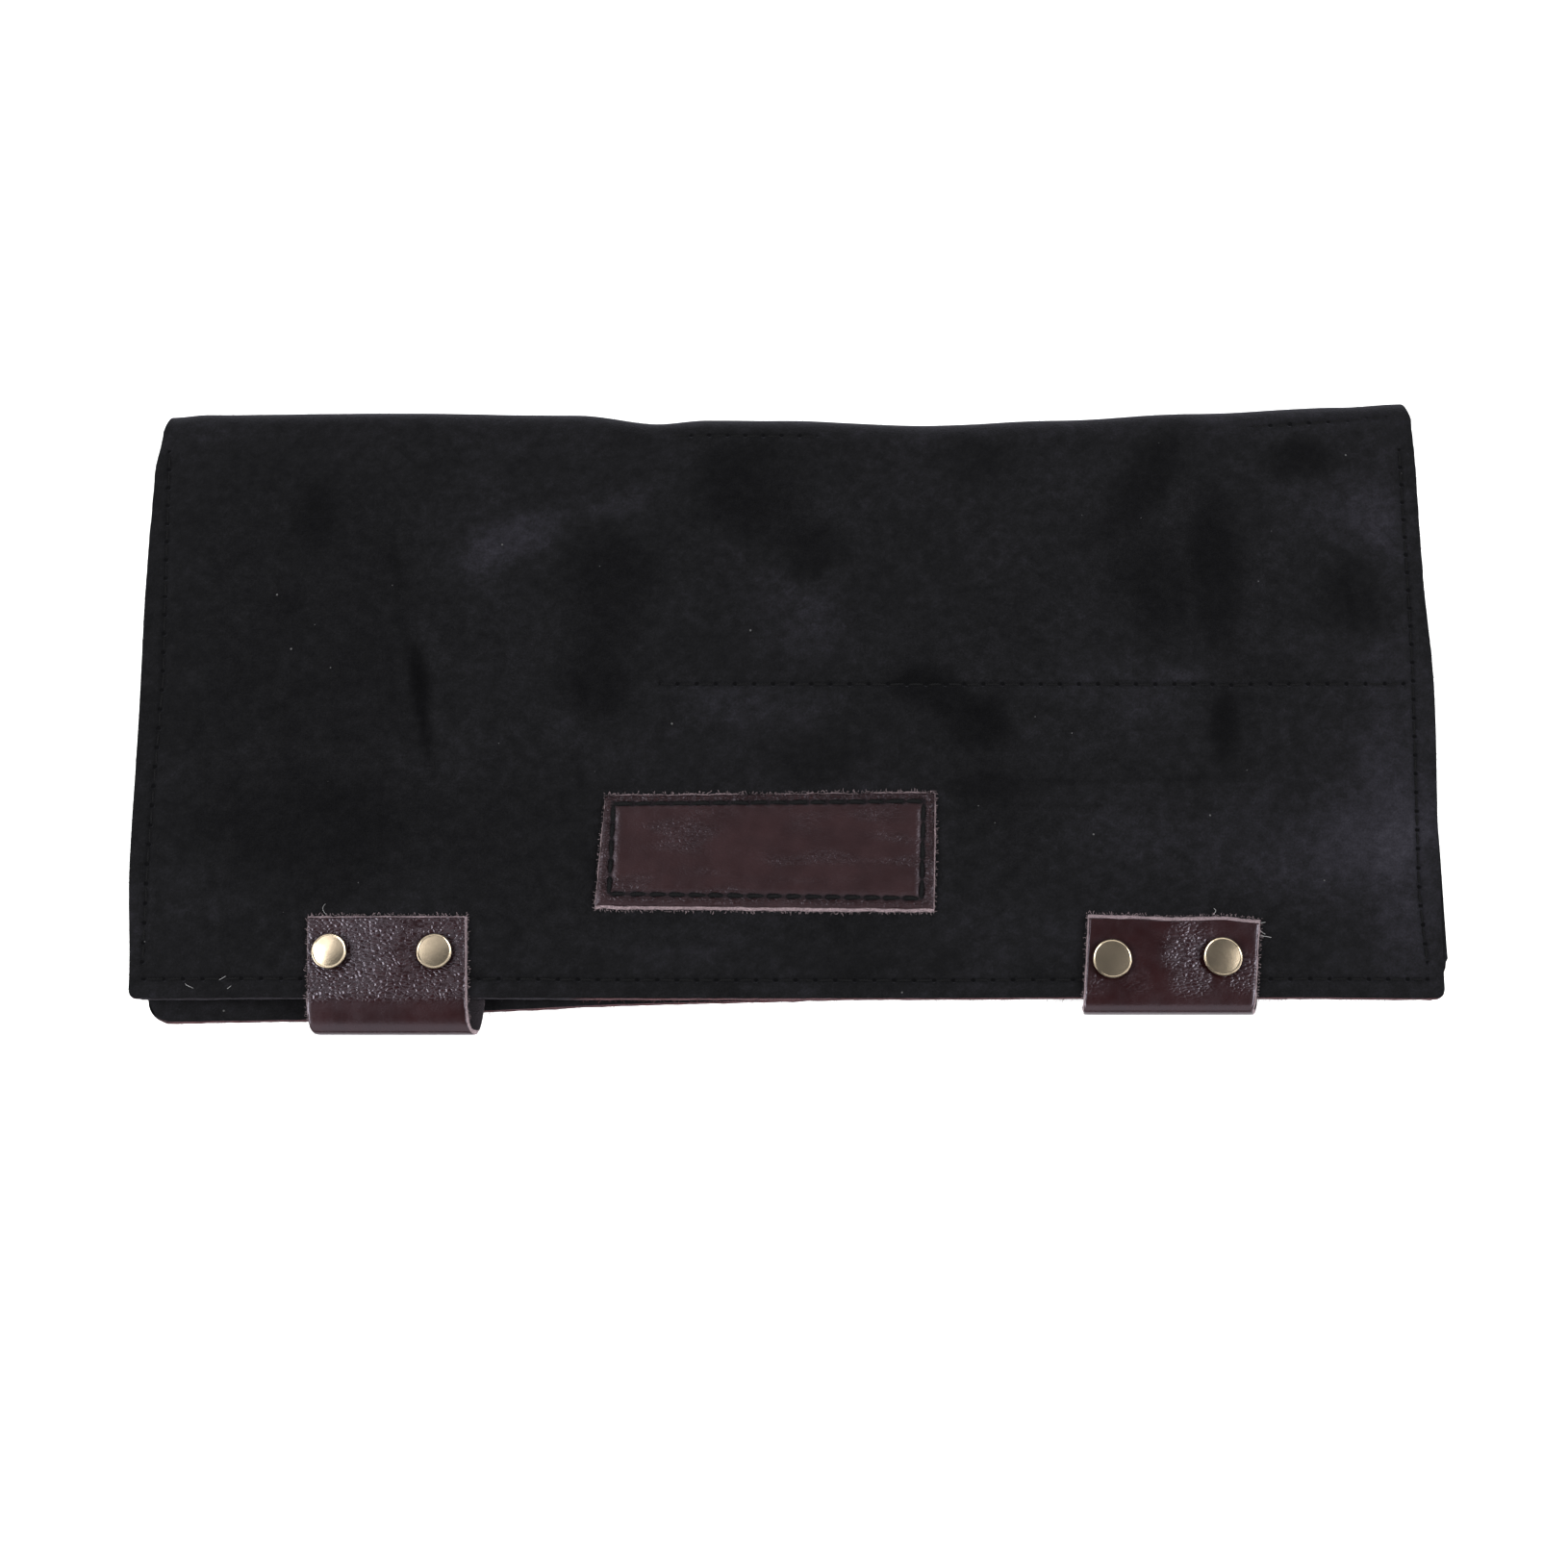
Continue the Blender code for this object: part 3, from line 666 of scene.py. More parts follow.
def needle_holes(graph, given):
    """Where a seam's holes and its groove lie, from the seam coordinates stored on a piece; the materials use it for
    bumps and to paint shade into the holes and the groove.
    """
    seam = graph.add("ShaderNodeSeparateXYZ", {0: given["Seam"]}).outputs
    along = graph.math("SUBTRACT", graph.math("FRACT", graph.math("ADD", seam[0], 0.5)), 0.5)
    along = graph.times(along, 4.8)
    beside = graph.times(seam[1], 1000.0)
    away = graph.math("SQRT", graph.math("ADD", graph.math("POWER", along, 2.0), graph.math("POWER", beside, 2.0)))
    hole = graph.rest(graph.ramp(away, given["Hole"], graph.times(given["Hole"], 2.6)))
    groove = graph.rest(graph.ramp(graph.math("ABSOLUTE", beside), 0.1, given["Groove"]))
    mask = graph.times(seam[2], graph.plus_times(groove, given["Depth"], hole))
    return {"Mask": graph.math("MINIMUM", mask, 1.0)}


# Each group's inputs, its outputs and the function that fills it
SHADER_GROUPS = {
    "Hide grain": (
        (("Place", VECTOR, None), ("Scale", FLOAT, 1000.0), ("Strength", FLOAT, 1.0)),
        (("Height", FLOAT), ("Crease", FLOAT)),
        hide_grain,
    ),
    "Cut edge": (
        (
            ("Place", VECTOR, None), ("Cut", FLOAT, 0.0), ("Face", COLOR, None), ("Dark", COLOR, None),
            ("Light", COLOR, None),
        ),
        (("Color", COLOR), ("Share", FLOAT), ("Height", FLOAT)),
        cut_edge,
    ),
    "Dust specks": (
        (("Place", VECTOR, None), ("Scale", FLOAT, 150.0), ("Share", FLOAT, 0.1), ("Size", FLOAT, 0.03)),
        (("Mask", FLOAT),),
        dust,
    ),
    "Needle holes": (
        (("Seam", VECTOR, None), ("Hole", FLOAT, 0.3), ("Groove", FLOAT, 1.3), ("Depth", FLOAT, 0.35)),
        (("Mask", FLOAT),),
        needle_holes,
    ),
}


def shader_group(name):
    """A shader group, built once and then taken from the file."""
    if name not in bpy.data.node_groups:
        inputs, outputs, build = SHADER_GROUPS[name]
        graph, given, result = new_group(name, "ShaderNodeTree", inputs, outputs)
        for label, socket in build(graph, given).items():
            graph.tree.links.new(socket, result.inputs[label])
    return bpy.data.node_groups[name]


# Materials

def new_material(name):
    """A material with its shader, the graph that adds to it, and object coordinates."""
    material = bpy.data.materials.new(name)
    material.use_nodes = True
    graph = Graph(material.node_tree)
    shader = material.node_tree.nodes["Principled BSDF"]
    place = graph.add("ShaderNodeTexCoord").outputs["Object"]
    return material, graph, shader, place


def set_shader(graph, shader, **inputs):
    for key, value in inputs.items():
        graph.set_input(shader.inputs[key.replace("_", " ")], value)


def rgba(color, factor=1.0):
    return (*(part * factor for part in color), 1.0)


def suede_material(name, colours):
    """Black suede: brushed nap, a felted surface, pricked seams with painted shade in their holes and groove, dust
    and a reddish cut edge.
    """
    material, graph, shader, place = new_material(name)
    brushed = graph.first(
        "ShaderNodeMapping",
        {"Vector": place, "Rotation": (0.0, 0.0, math.radians(-50.0)), "Scale": (0.9, 1.1, 1.0)},
    )
    clouds = graph.noise(brushed, 60.0, 4.0, 0.6)
    mottled = graph.noise(brushed, 330.0, 4.0, 0.7)
    fibres = graph.noise(place, 1900.0, 3.0, 0.8)
    nap = graph.attribute("nap")
    for value, share in ((clouds, 1.7), (mottled, 3.0), (fibres, 3.0)):
        nap = graph.plus_times(graph.math("SUBTRACT", value, 0.5), share, nap)
    tone = graph.math("POWER", 1.72, graph.minus(nap))
    blue = graph.blend(graph.ramp(nap, -1.6, 0.2), rgba(colours.suede_light), rgba(colours.suede))
    color = graph.vector("SCALE", blue, tone)
    holes = graph.group("Needle holes", Seam=graph.attribute("seam", "Vector"))["Mask"]
    # Painted shade: the needle holes and the seam's groove are darkened.
    color = graph.blend(holes, color, rgba(colours.suede, 0.3))
    edge = graph.group(
        "Cut edge", Place=place, Cut=graph.attribute("cut"), Face=color,
        Dark=rgba(colours.suede_edge, 0.35), Light=rgba(colours.suede_edge, 1.5),
    )
    specks = graph.group("Dust specks", Place=place, Scale=210.0, Share=0.30, Size=0.050)["Mask"]
    color = graph.blend(graph.times(specks, 0.6), edge["Color"], (0.09, 0.09, 0.09, 1.0))
    height = graph.plus_times(mottled, 0.7, graph.times(fibres, 0.6))
    height = graph.math("SUBTRACT", height, graph.times(holes, 0.9))
    set_shader(
        graph, shader, Base_Color=color, Normal=graph.bump(height, 0.00045, 0.9), Roughness=0.92,
        Specular_IOR_Level=0.02, Sheen_Weight=0.06, Sheen_Roughness=0.45, Sheen_Tint=(0.8, 0.8, 0.95, 1.0),
    )
    return material


def leather_material(name, base, colours, scale, roughness, relief, shine):
    """Smooth brown leather: pebbled where its grain attribute says, with a pale cut edge and an underside painted
    near-black as shade.
    """
    material, graph, shader, place = new_material(name)
    grain = graph.group("Hide grain", Place=place, Scale=scale, Strength=graph.attribute("grain"))
    cloudy = graph.noise(place, 130.0, 3.0)
    color = graph.blend(graph.ramp(cloudy, 0.3, 0.7), rgba(base, 0.85), rgba(base, 1.15))
    # Painted shade: the creases between the pebbles are darkened.
    color = graph.blend(graph.times(grain["Crease"], 0.75), color, rgba(base, 0.3))
    seam = graph.attribute("seam", "Vector")
    holes = graph.group("Needle holes", Seam=seam, Hole=0.40, Groove=0.95, Depth=0.85)["Mask"]
    # Painted shade: the seam's needle holes and groove are darkened nearly to black.
    color = graph.blend(holes, color, rgba(base, 0.12))
    # Painted shade: the rough underside is reddish brown, but it is made near-black for the shade inside the loops.
    color = graph.blend(graph.attribute("flesh"), color, rgba(colours.flesh))
    edge = graph.group(
        "Cut edge", Place=place, Cut=graph.attribute("cut"), Face=color,
        Dark=rgba(colours.leather_edge, 0.5), Light=rgba(colours.leather_edge, 1.25),
    )
    rough = graph.math("MAXIMUM", edge["Share"], graph.attribute("flesh"))
    dull = graph.plus_times(graph.noise(place, 300.0), 0.16, roughness - 0.08)
    dull = graph.plus_times(graph.math("MAXIMUM", rough, holes), 0.5, dull)
    height = graph.plus_times(graph.times(edge["Height"], rough), 2.5, grain["Height"])
    set_shader(
        graph, shader, Base_Color=edge["Color"], Roughness=dull, Normal=graph.bump(height, relief, 1.0),
        Specular_IOR_Level=shine, Specular_Tint=(0.92, 0.86, 1.0, 1.0),
    )
    return material


def thread_material(colours):
    """Waxed black thread with a twist."""
    material, graph, shader, place = new_material("black_thread")
    twist = graph.add(
        "ShaderNodeTexWave", {"Vector": place, "Scale": 900.0, "Distortion": 2.0, "Detail": 1.0},
        bands_direction="DIAGONAL",
    ).outputs["Fac"]
    color = graph.blend(twist, rgba(colours.thread, 0.6), rgba(colours.thread, 1.5))
    set_shader(
        graph, shader, Base_Color=color, Roughness=0.75, Specular_IOR_Level=0.07,
        Normal=graph.bump(twist, 0.0001, 0.7),
    )
    return material


def brass_material(colours):
    """Antique brass: a brushed crown with random stains, darker at the groove, and painted shade that makes the
    outside of the rolled rim dark.
    """
    material, graph, shader, place = new_material("aged_brass_shaded_rim")
    scratches = graph.noise(graph.vector("MULTIPLY", place, (1.0, 9.0, 1.0)), 900.0, 3.0, 0.7)
    stains = graph.noise(place, 420.0, 3.0)
    out = graph.attribute("out")
    groove = graph.ramp(graph.math("ABSOLUTE", graph.math("SUBTRACT", out, 0.90)), 0.03, 0.0)
    # Painted shade: the outside of the rolled rim, where it turns down, is made dark; the random stains are the
    # brass's own.
    edges = graph.math("MAXIMUM", graph.times(groove, 0.5), graph.ramp(out, 0.940, 0.965))
    patina_and_rim_shade = graph.plus_times(edges, 0.9, graph.times(graph.ramp(stains, 0.40, 0.8), 0.16))
    set_shader(
        graph, shader, Base_Color=graph.blend(patina_and_rim_shade, rgba(colours.brass), rgba(colours.brass, 0.14)),
        Metallic=1.0, Roughness=graph.plus_times(scratches, 0.08, 0.17),
        Normal=graph.bump(scratches, 0.00002, 0.35),
    )
    return material


def fibre_material(name, color):
    material, graph, shader, place = new_material(name)
    shade = graph.blend(graph.noise(place, 900.0, 1.0), rgba(color, 0.5), rgba(color, 1.4))
    set_shader(graph, shader, Base_Color=shade, Roughness=0.8, Specular_IOR_Level=0.15)
    return material


# Geometry node trees

def random_vector(graph, low, high, seed):
    return graph.first("FunctionNodeRandomValue", {0: low, 1: high, "Seed": seed}, data_type="FLOAT_VECTOR")


def random_number(graph, low, high, seed):
    inputs = {2: low, 3: high, "Seed": seed}
    return graph.add("FunctionNodeRandomValue", inputs, data_type="FLOAT").outputs[1]


def alike(graph, value):
    """A vector with the same number three times."""
    return graph.combine(value, value, value)


def swept(graph, curve, radius, sides):
    """A thread or fibre with closed ends along a curve."""
    ring = graph.first("GeometryNodeCurvePrimitiveCircle", {"Resolution": sides, "Radius": radius})
    return graph.first("GeometryNodeCurveToMesh", {"Curve": curve, "Profile Curve": ring, "Fill Caps": True})


def facing(graph, first, second, axes):
    """The rotation that brings two axes to two directions."""
    return graph.first(
        "FunctionNodeAxesToRotation", {"Primary Axis": first, "Secondary Axis": second},
        primary_axis=axes[0], secondary_axis=axes[1],
    )


def scattered(graph, points, piece, rotation, turn, size):
    """A piece at each point, facing its way and turned a little more."""
    turn = graph.first("FunctionNodeEulerToRotation", {0: turn})
    turned = graph.first(
        "FunctionNodeRotateRotation", {"Rotation": rotation, "Rotate By": turn}, rotation_space="LOCAL",
    )
    return graph.first(
        "GeometryNodeInstanceOnPoints", {"Points": points, "Instance": piece, "Rotation": turned, "Scale": size},
    )


def build_stitches(graph, given):
    """One bowed stitch between each two holes of a line."""
    inset = graph.math("DIVIDE", 0.5, given["Count"])
    line = graph.first("GeometryNodeMeshToCurve", {"Mesh": given["Geometry"]})
    trimmed = graph.first("GeometryNodeTrimCurve", {"Curve": line, 2: inset, 3: graph.rest(inset)}, mode="FACTOR")
    points = graph.add("GeometryNodeCurveToPoints", {"Curve": trimmed, "Count": given["Count"]}, mode="COUNT").outputs
    half = graph.times(given["Length"], 0.5)
    low = graph.minus(given["Sink"])
    bow = graph.first(
        "GeometryNodeCurveQuadraticBezier",
        {
            "Resolution": 7, "Start": graph.combine(graph.minus(half), 0.0, low),
            "Middle": graph.combine(0.0, 0.0, given["Bow"]), "End": graph.combine(half, 0.0, low),
        },
    )
    wobble, seed = given["Wobble"], given["Seed"]
    turn = random_vector(graph, alike(graph, graph.minus(wobble)), alike(graph, wobble), seed)
    size = random_vector(graph, (0.86, 0.9, 0.8), (1.08, 1.1, 1.15), graph.math("ADD", seed, 5.0))
    upright = facing(graph, points["Tangent"], (0.0, 0.0, 1.0), "XZ")
    return scattered(graph, points[0], swept(graph, bow, given["Radius"], 6), upright, turn, size)


def build_fibres(graph, given):
    """Short curled fibres along a line, standing out along its outward attribute."""
    line = graph.first("GeometryNodeMeshToCurve", {"Mesh": given["Geometry"]})
    points = graph.add(
        "GeometryNodeCurveToPoints", {"Curve": line, "Length": given["Spacing"]}, mode="LENGTH",
    ).outputs
    spread, lean, seed = given["Spread"], given["Lean"], given["Seed"]
    shift = random_vector(graph, alike(graph, graph.minus(spread)), alike(graph, spread), seed)
    moved = graph.first("GeometryNodeSetPosition", {"Geometry": points[0], "Offset": shift})
    curl = graph.first(
        "GeometryNodeCurveQuadraticBezier",
        {"Resolution": 4, "Start": (0.0, 0.0, 0.0), "Middle": (0.30, 0.0, 0.5), "End": (-0.15, 0.30, 1.0)},
    )
    outward = graph.first("GeometryNodeInputNamedAttribute", {"Name": "outward"}, data_type="FLOAT_VECTOR")
    against = graph.minus(lean)
    turn = random_vector(
        graph, graph.combine(against, against, -math.pi), graph.combine(lean, lean, math.pi),
        graph.math("ADD", seed, 3.0),
    )
    length = random_number(graph, given["Shortest"], given["Longest"], graph.math("ADD", seed, 9.0))
    outwards = facing(graph, outward, points["Tangent"], "ZX")
    return scattered(graph, moved, swept(graph, curl, given["Stoutness"], 3), outwards, turn, length)


def build_cap(graph, given):
    """A rivet's cap: a low crown, a groove, a rolled rim and a flat underside, turned round its axis."""
    grid = graph.add(
        "GeometryNodeMeshGrid",
        {"Size X": 1.0, "Size Y": 1.0, "Vertices X": given["Rings"], "Vertices Y": given["Sides"]},
    ).outputs
    spread = graph.add("ShaderNodeSeparateXYZ", {0: grid["UV Map"]}).outputs
    radius, rim = given["Radius"], given["Rim"]
    crown_end, rim_end = 0.45, 0.92
    start, end = math.radians(-55.0), math.radians(155.0)
    in_crown = graph.math("MINIMUM", graph.math("DIVIDE", spread[0], crown_end), 1.0)
    in_rim = graph.math("DIVIDE", graph.math("SUBTRACT", spread[0], crown_end), rim_end - crown_end)
    in_rim = graph.math("MINIMUM", graph.math("MAXIMUM", in_rim, 0.0), 1.0)
    under = graph.math("DIVIDE", graph.math("SUBTRACT", spread[0], rim_end), 1.0 - rim_end)
    under = graph.math("MAXIMUM", under, 0.0)
    angle = graph.plus_times(in_rim, end - start, start)
    flat = graph.math("SUBTRACT", radius, graph.times(rim, 1.0 - math.sin(start)))
    rolled = graph.times(graph.math("SUBTRACT", graph.math("SINE", angle), math.sin(start)), rim)
    out = graph.times(graph.math("ADD", graph.times(flat, in_crown), rolled), graph.rest(under))
    fall = graph.times(rim, graph.rest(graph.math("COSINE", angle)))
    bulge = graph.rest(graph.math("POWER", in_crown, 2.0))
    level = graph.plus_times(bulge, given["Crown"], graph.math("SUBTRACT", given["Height"], fall))
    turn = graph.times(spread[1], 2.0 * math.pi)
    place = graph.combine(
        graph.times(out, graph.math("COSINE", turn)), graph.times(out, graph.math("SINE", turn)),
        graph.times(level, given["Up"]),
    )
    tilted = graph.first(
        "ShaderNodeVectorRotate", {"Vector": place, "Rotation": given["Tilt"]}, rotation_type="EULER_XYZ",
    )
    marked = graph.first(
        "GeometryNodeStoreNamedAttribute",
        {"Geometry": grid["Mesh"], "Name": "out", "Value": graph.math("DIVIDE", out, radius)},
        data_type="FLOAT", domain="POINT",
    )
    moved = graph.vector("ADD", tilted, given["Place"])
    shaped = graph.first("GeometryNodeSetPosition", {"Geometry": marked, "Position": moved})
    return graph.first("GeometryNodeMergeByDistance", {"Geometry": shaped, "Distance": 0.000005})


# Each tree's inputs and the function that fills it
GEOMETRY_TREES = {
    "Running stitch": (
        (
            ("Count", INTEGER, 10), ("Length", FLOAT, 0.0036), ("Radius", FLOAT, 0.0003), ("Bow", FLOAT, 0.0006),
            ("Sink", FLOAT, 0.0004), ("Wobble", FLOAT, 0.08), ("Seed", INTEGER, 1),
        ),
        build_stitches,
    ),
    "Edge fibres": (
        (
            ("Spacing", FLOAT, 0.0005), ("Shortest", FLOAT, 0.0003), ("Longest", FLOAT, 0.0009),
            ("Stoutness", FLOAT, 0.06), ("Spread", FLOAT, 0.0003), ("Lean", FLOAT, 0.9), ("Seed", INTEGER, 1),
        ),
        build_fibres,
    ),
    "Rivet cap": (
        (
            ("Place", VECTOR, None), ("Radius", FLOAT, 0.0045), ("Height", FLOAT, 0.0017), ("Rim", FLOAT, 0.0005),
            ("Crown", FLOAT, 0.0003), ("Up", FLOAT, 1.0), ("Tilt", VECTOR, None), ("Rings", INTEGER, 40),
            ("Sides", INTEGER, 73),
        ),
        build_cap,
    ),
}


def geometry_tree(name):
    """A geometry tree whose result is realized and given its material."""
    if name not in bpy.data.node_groups:
        inputs, build = GEOMETRY_TREES[name]
        listed = (("Geometry", GEOMETRY, None), *inputs, ("Material", MATERIAL, None))
        graph, given, result = new_group(name, "GeometryNodeTree", listed, (("Geometry", GEOMETRY),))
        made = graph.first("GeometryNodeRealizeInstances", {"Geometry": build(graph, given)})
        made = graph.first("GeometryNodeSetShadeSmooth", {"Geometry": made})
        made = graph.first("GeometryNodeSetMaterial", {"Geometry": made, "Material": given["Material"]})
        graph.tree.links.new(made, result.inputs["Geometry"])
    return bpy.data.node_groups[name]


def grown(name, carrier, material, **inputs):
    """The plain mesh that a geometry tree makes from a carrier mesh."""
    tree = geometry_tree(name)
    holder = add_object("carrier", carrier)
    modifier = holder.modifiers.new("grow", "NODES")
    modifier.node_group = tree
    sockets = {item.name: item.identifier for item in tree.interface.items_tree if item.in_out == "INPUT"}
    for key, value in {"Material": material, **inputs}.items():
        modifier[sockets[key]] = value
    depsgraph = bpy.context.evaluated_depsgraph_get()
    depsgraph.update()
    mesh = bpy.data.meshes.new_from_object(holder.evaluated_get(depsgraph), depsgraph=depsgraph)
    holder.modifiers.remove(modifier)
    bpy.data.objects.remove(holder)
    bpy.data.meshes.remove(carrier)
    return mesh


def line_mesh(points, outward=None):
    """A line of edges, moved to the frame, that a geometry tree can follow."""
    mesh = bpy.data.meshes.new("line")
    mesh.from_pydata([point + TO_FRAME for point in points], [(i, i + 1) for i in range(len(points) - 1)], [])
    if outward is not None:
        layer = mesh.attributes.new("outward", "FLOAT_VECTOR", "POINT")
        layer.data.foreach_set("vector", [part for vector in outward for part in vector])
    return mesh


def join_meshes(name, meshes, material, outwards=False):
    """One object from several plain meshes."""
    joined = bmesh.new()
    for mesh in meshes:
        joined.from_mesh(mesh)
        bpy.data.meshes.remove(mesh)
    if outwards:
        bmesh.ops.recalc_face_normals(joined, faces=joined.faces)
    whole = bpy.data.meshes.new(name)
    joined.to_mesh(whole)
    joined.free()
    whole.materials.append(material)
    whole.shade_smooth()
    return add_object(name, whole)


# The cover and its lining

def cover_rows(flap, back, fold_rows):
    """(kind, share) of each row, from the flap's hem over the fold to the back panel's hem."""
    rows = [("flap", share) for share in flap]
    rows += [("fold", step / fold_rows) for step in range(1, fold_rows + 1)]
    return rows + [("back", share) for share in reversed(back[:-1])]


def cover_place(across, kind, share):
    if kind == "flap":
        return flap_point(across, share)
    return fold_point(across, share) if kind == "fold" else back_point(across, share)


def relief_share(kind, share):
    """The unevenness fades out round the fold, because the back panel lies flat."""
    return 1.0 if kind == "flap" else 1.0 - smooth(share) if kind == "fold" else 0.0


def cover_grids(columns, rows, depth):
    """The even face at a depth under the cover's outer face, and its normals."""
    face = [[cover_place(across, kind, share) for across in columns] for kind, share in rows]
    normals = grid_normals(face)
    for r, (kind, share) in enumerate(rows):
        fade = relief_share(kind, share)
        for c in range(len(columns)):
            place, normal = face[r][c], normals[r][c]
            lift = flap_relief(place.x, place.y) * fade if fade else 0.0
            face[r][c] = place + normal * (lift - depth)
    return face, normals


def sunk(face, normals, depth):
    return [[point - normal * depth for point, normal in zip(*rows)] for rows in zip(face, normals)]


def nap_at(x, y):
    """How dark the brushed nap is at a place on the flap: above 0 where it is smoothed down."""
    place = Vector((x, y, 0.0))
    drift = noise.noise_vector(place / 0.024) * 0.0060 + noise.noise_vector(place / 0.009) * 0.0030
    drift += noise.noise_vector(place / 0.0035) * 0.0011
    dark, light = 0.0, 0.0
    for spot in NAP:
        hold = min(min(spot.reach_x, spot.reach_y) / 0.011, 1.0) ** 2
        dx, dy = x + drift.x * hold - spot.x, y + drift.y * hold - spot.y
        if abs(dx) > 0.12 or abs(dy) > 0.12:
            continue
        turn = math.radians(spot.turn)
        out = math.hypot(
            (dx * math.cos(turn) + dy * math.sin(turn)) / spot.reach_x,
            (dy * math.cos(turn) - dx * math.sin(turn)) / spot.reach_y,
        )
        level = abs(spot.dark) * (1.0 - smooth((out - 0.30) / 1.0))
        if spot.dark > 0:
            dark = max(dark, level) + 0.3 * min(dark, level)
        else:
            light += level
    return 1.2 * dark - 1.3 * light


def hem_red_and_shade(kind, share, place):
    """How reddish the cut edge shows at a place on the cover's border; along the flap's hem left of x = -0.055,
    except at its corner, it is kept nearly black as painted shade, where the edge hangs over the back panel.
    """
    if kind == "back":
        return 1.0 if share < 0.02 else 0.25
    # Painted shade: left of x = -0.055 the flap's hem shows almost none of its reddish cut edge.
    if kind == "flap" and share < 0.02:
        return max(smooth((place.x + 0.055) / 0.01), smooth((-0.1570 - place.x) / 0.003), 0.04)
    return 0.10


def cut_values(rows, outer, border):
    """How reddish each point of a folded sheet is: its two faces not at all, then its rim's loops."""
    faces = [0.0] * (2 * len(outer) * len(outer[0]))
    return faces + [hem_red_and_shade(*rows[r], outer[r][c]) for r, c in border] * len(RIM_SHARES)


def make_suede_cover(sizes, material):
    columns = graded(ACROSS_STEPS)
    rows = cover_rows(graded(FLAP_STEPS), graded(BACK_STEPS), FOLD_ROWS)
    face, normals = cover_grids(columns, rows, 0.0)
    inner = sunk(face, normals, SUEDE_THICKNESS)
    outer, nap, stitching = [], [], []
    lines = [seam.line for seam in SEAMS]
    for r, (kind, share) in enumerate(rows):
        row = []
        for place, normal in zip(face[r], normals[r]):
            on_top = kind == "flap" or kind == "fold" and share < 0.5
            stitches, beside, near = (
                seam_coordinates(place.x, place.y, lines, sizes.stitch_pitch) if on_top else NO_SEAM
            )
            row.append(place + normal * seam_relief(stitches, beside, sizes.seam_depth) * near)
            nap.append(nap_at(place.x, place.y) if on_top else 0.0)
            stitching.append(Vector((stitches, abs(beside), near)))
        outer.append(row)
    points, faces, border = walled(outer, inner, 0.00018, 0.00016)
    inside = len(points) - len(nap)
    # Painted shade: the underside and the rim take a nap of 2, which makes them darker than the top face.
    values = {
        "nap": nap + [2.0] * inside, "seam": stitching + [Vector(NO_SEAM)] * inside,
        "cut": cut_values(rows, outer, border),
    }
    return make_piece("folded_suede_cover", points, faces, material, values)


def make_lining(material):
    columns = [step / LINING_COLUMNS for step in range(LINING_COLUMNS + 1)]
    flap = [step / LINING_FLAP_ROWS for step in range(LINING_FLAP_ROWS + 1)]
    rows = cover_rows(flap, graded(LINING_BACK_STEPS), FOLD_ROWS)
    face, normals = cover_grids(columns, rows, SUEDE_THICKNESS + GAP)
    inner = sunk(face, normals, LINING_THICKNESS)
    points, faces, border = walled(face, inner, 0.00010, 0.00014)
    nap = [0.1 + 0.5 * noise.noise(point / 0.02) for point in points]
    values = {"nap": nap, "seam": [Vector(NO_SEAM)] * len(points), "cut": cut_values(rows, face, border)}
    return make_piece("folded_lining", points, faces, material, values)


def leather_values(grain, points):
    """A leather piece's numbers: its face's grain, its pale cut rim and its rough underside."""
    half = len(grain)
    rim = len(points) - 2 * half
    return {
        "grain": grain + [0.2] * (half + rim),
        "cut": [0.0] * (2 * half) + [1.0] * rim,
        "flesh": [0.0] * half + [1.0] * half + [0.0] * rim,
    }


# The label patch

def patch_place(across, up):
    """(x, y) on the patch, with across and up from -1 to 1."""
    x = PATCH_CENTRE.x * CASE_WIDTH + across * PATCH_WIDTH / 2
    y = PATCH_CENTRE.y * CASE_DEPTH + up * PATCH_HEIGHT / 2
    for corner in PATCH_CORNERS:
        weight = (1 + corner.side * across) * (1 + corner.top * up) / 4
        x += weight * corner.dx * PATCH_WIDTH
        y += weight * corner.dy * PATCH_HEIGHT
    return x, y


def patch_line():
    return (*PATCH_SEAM, PATCH_SEAM[0])


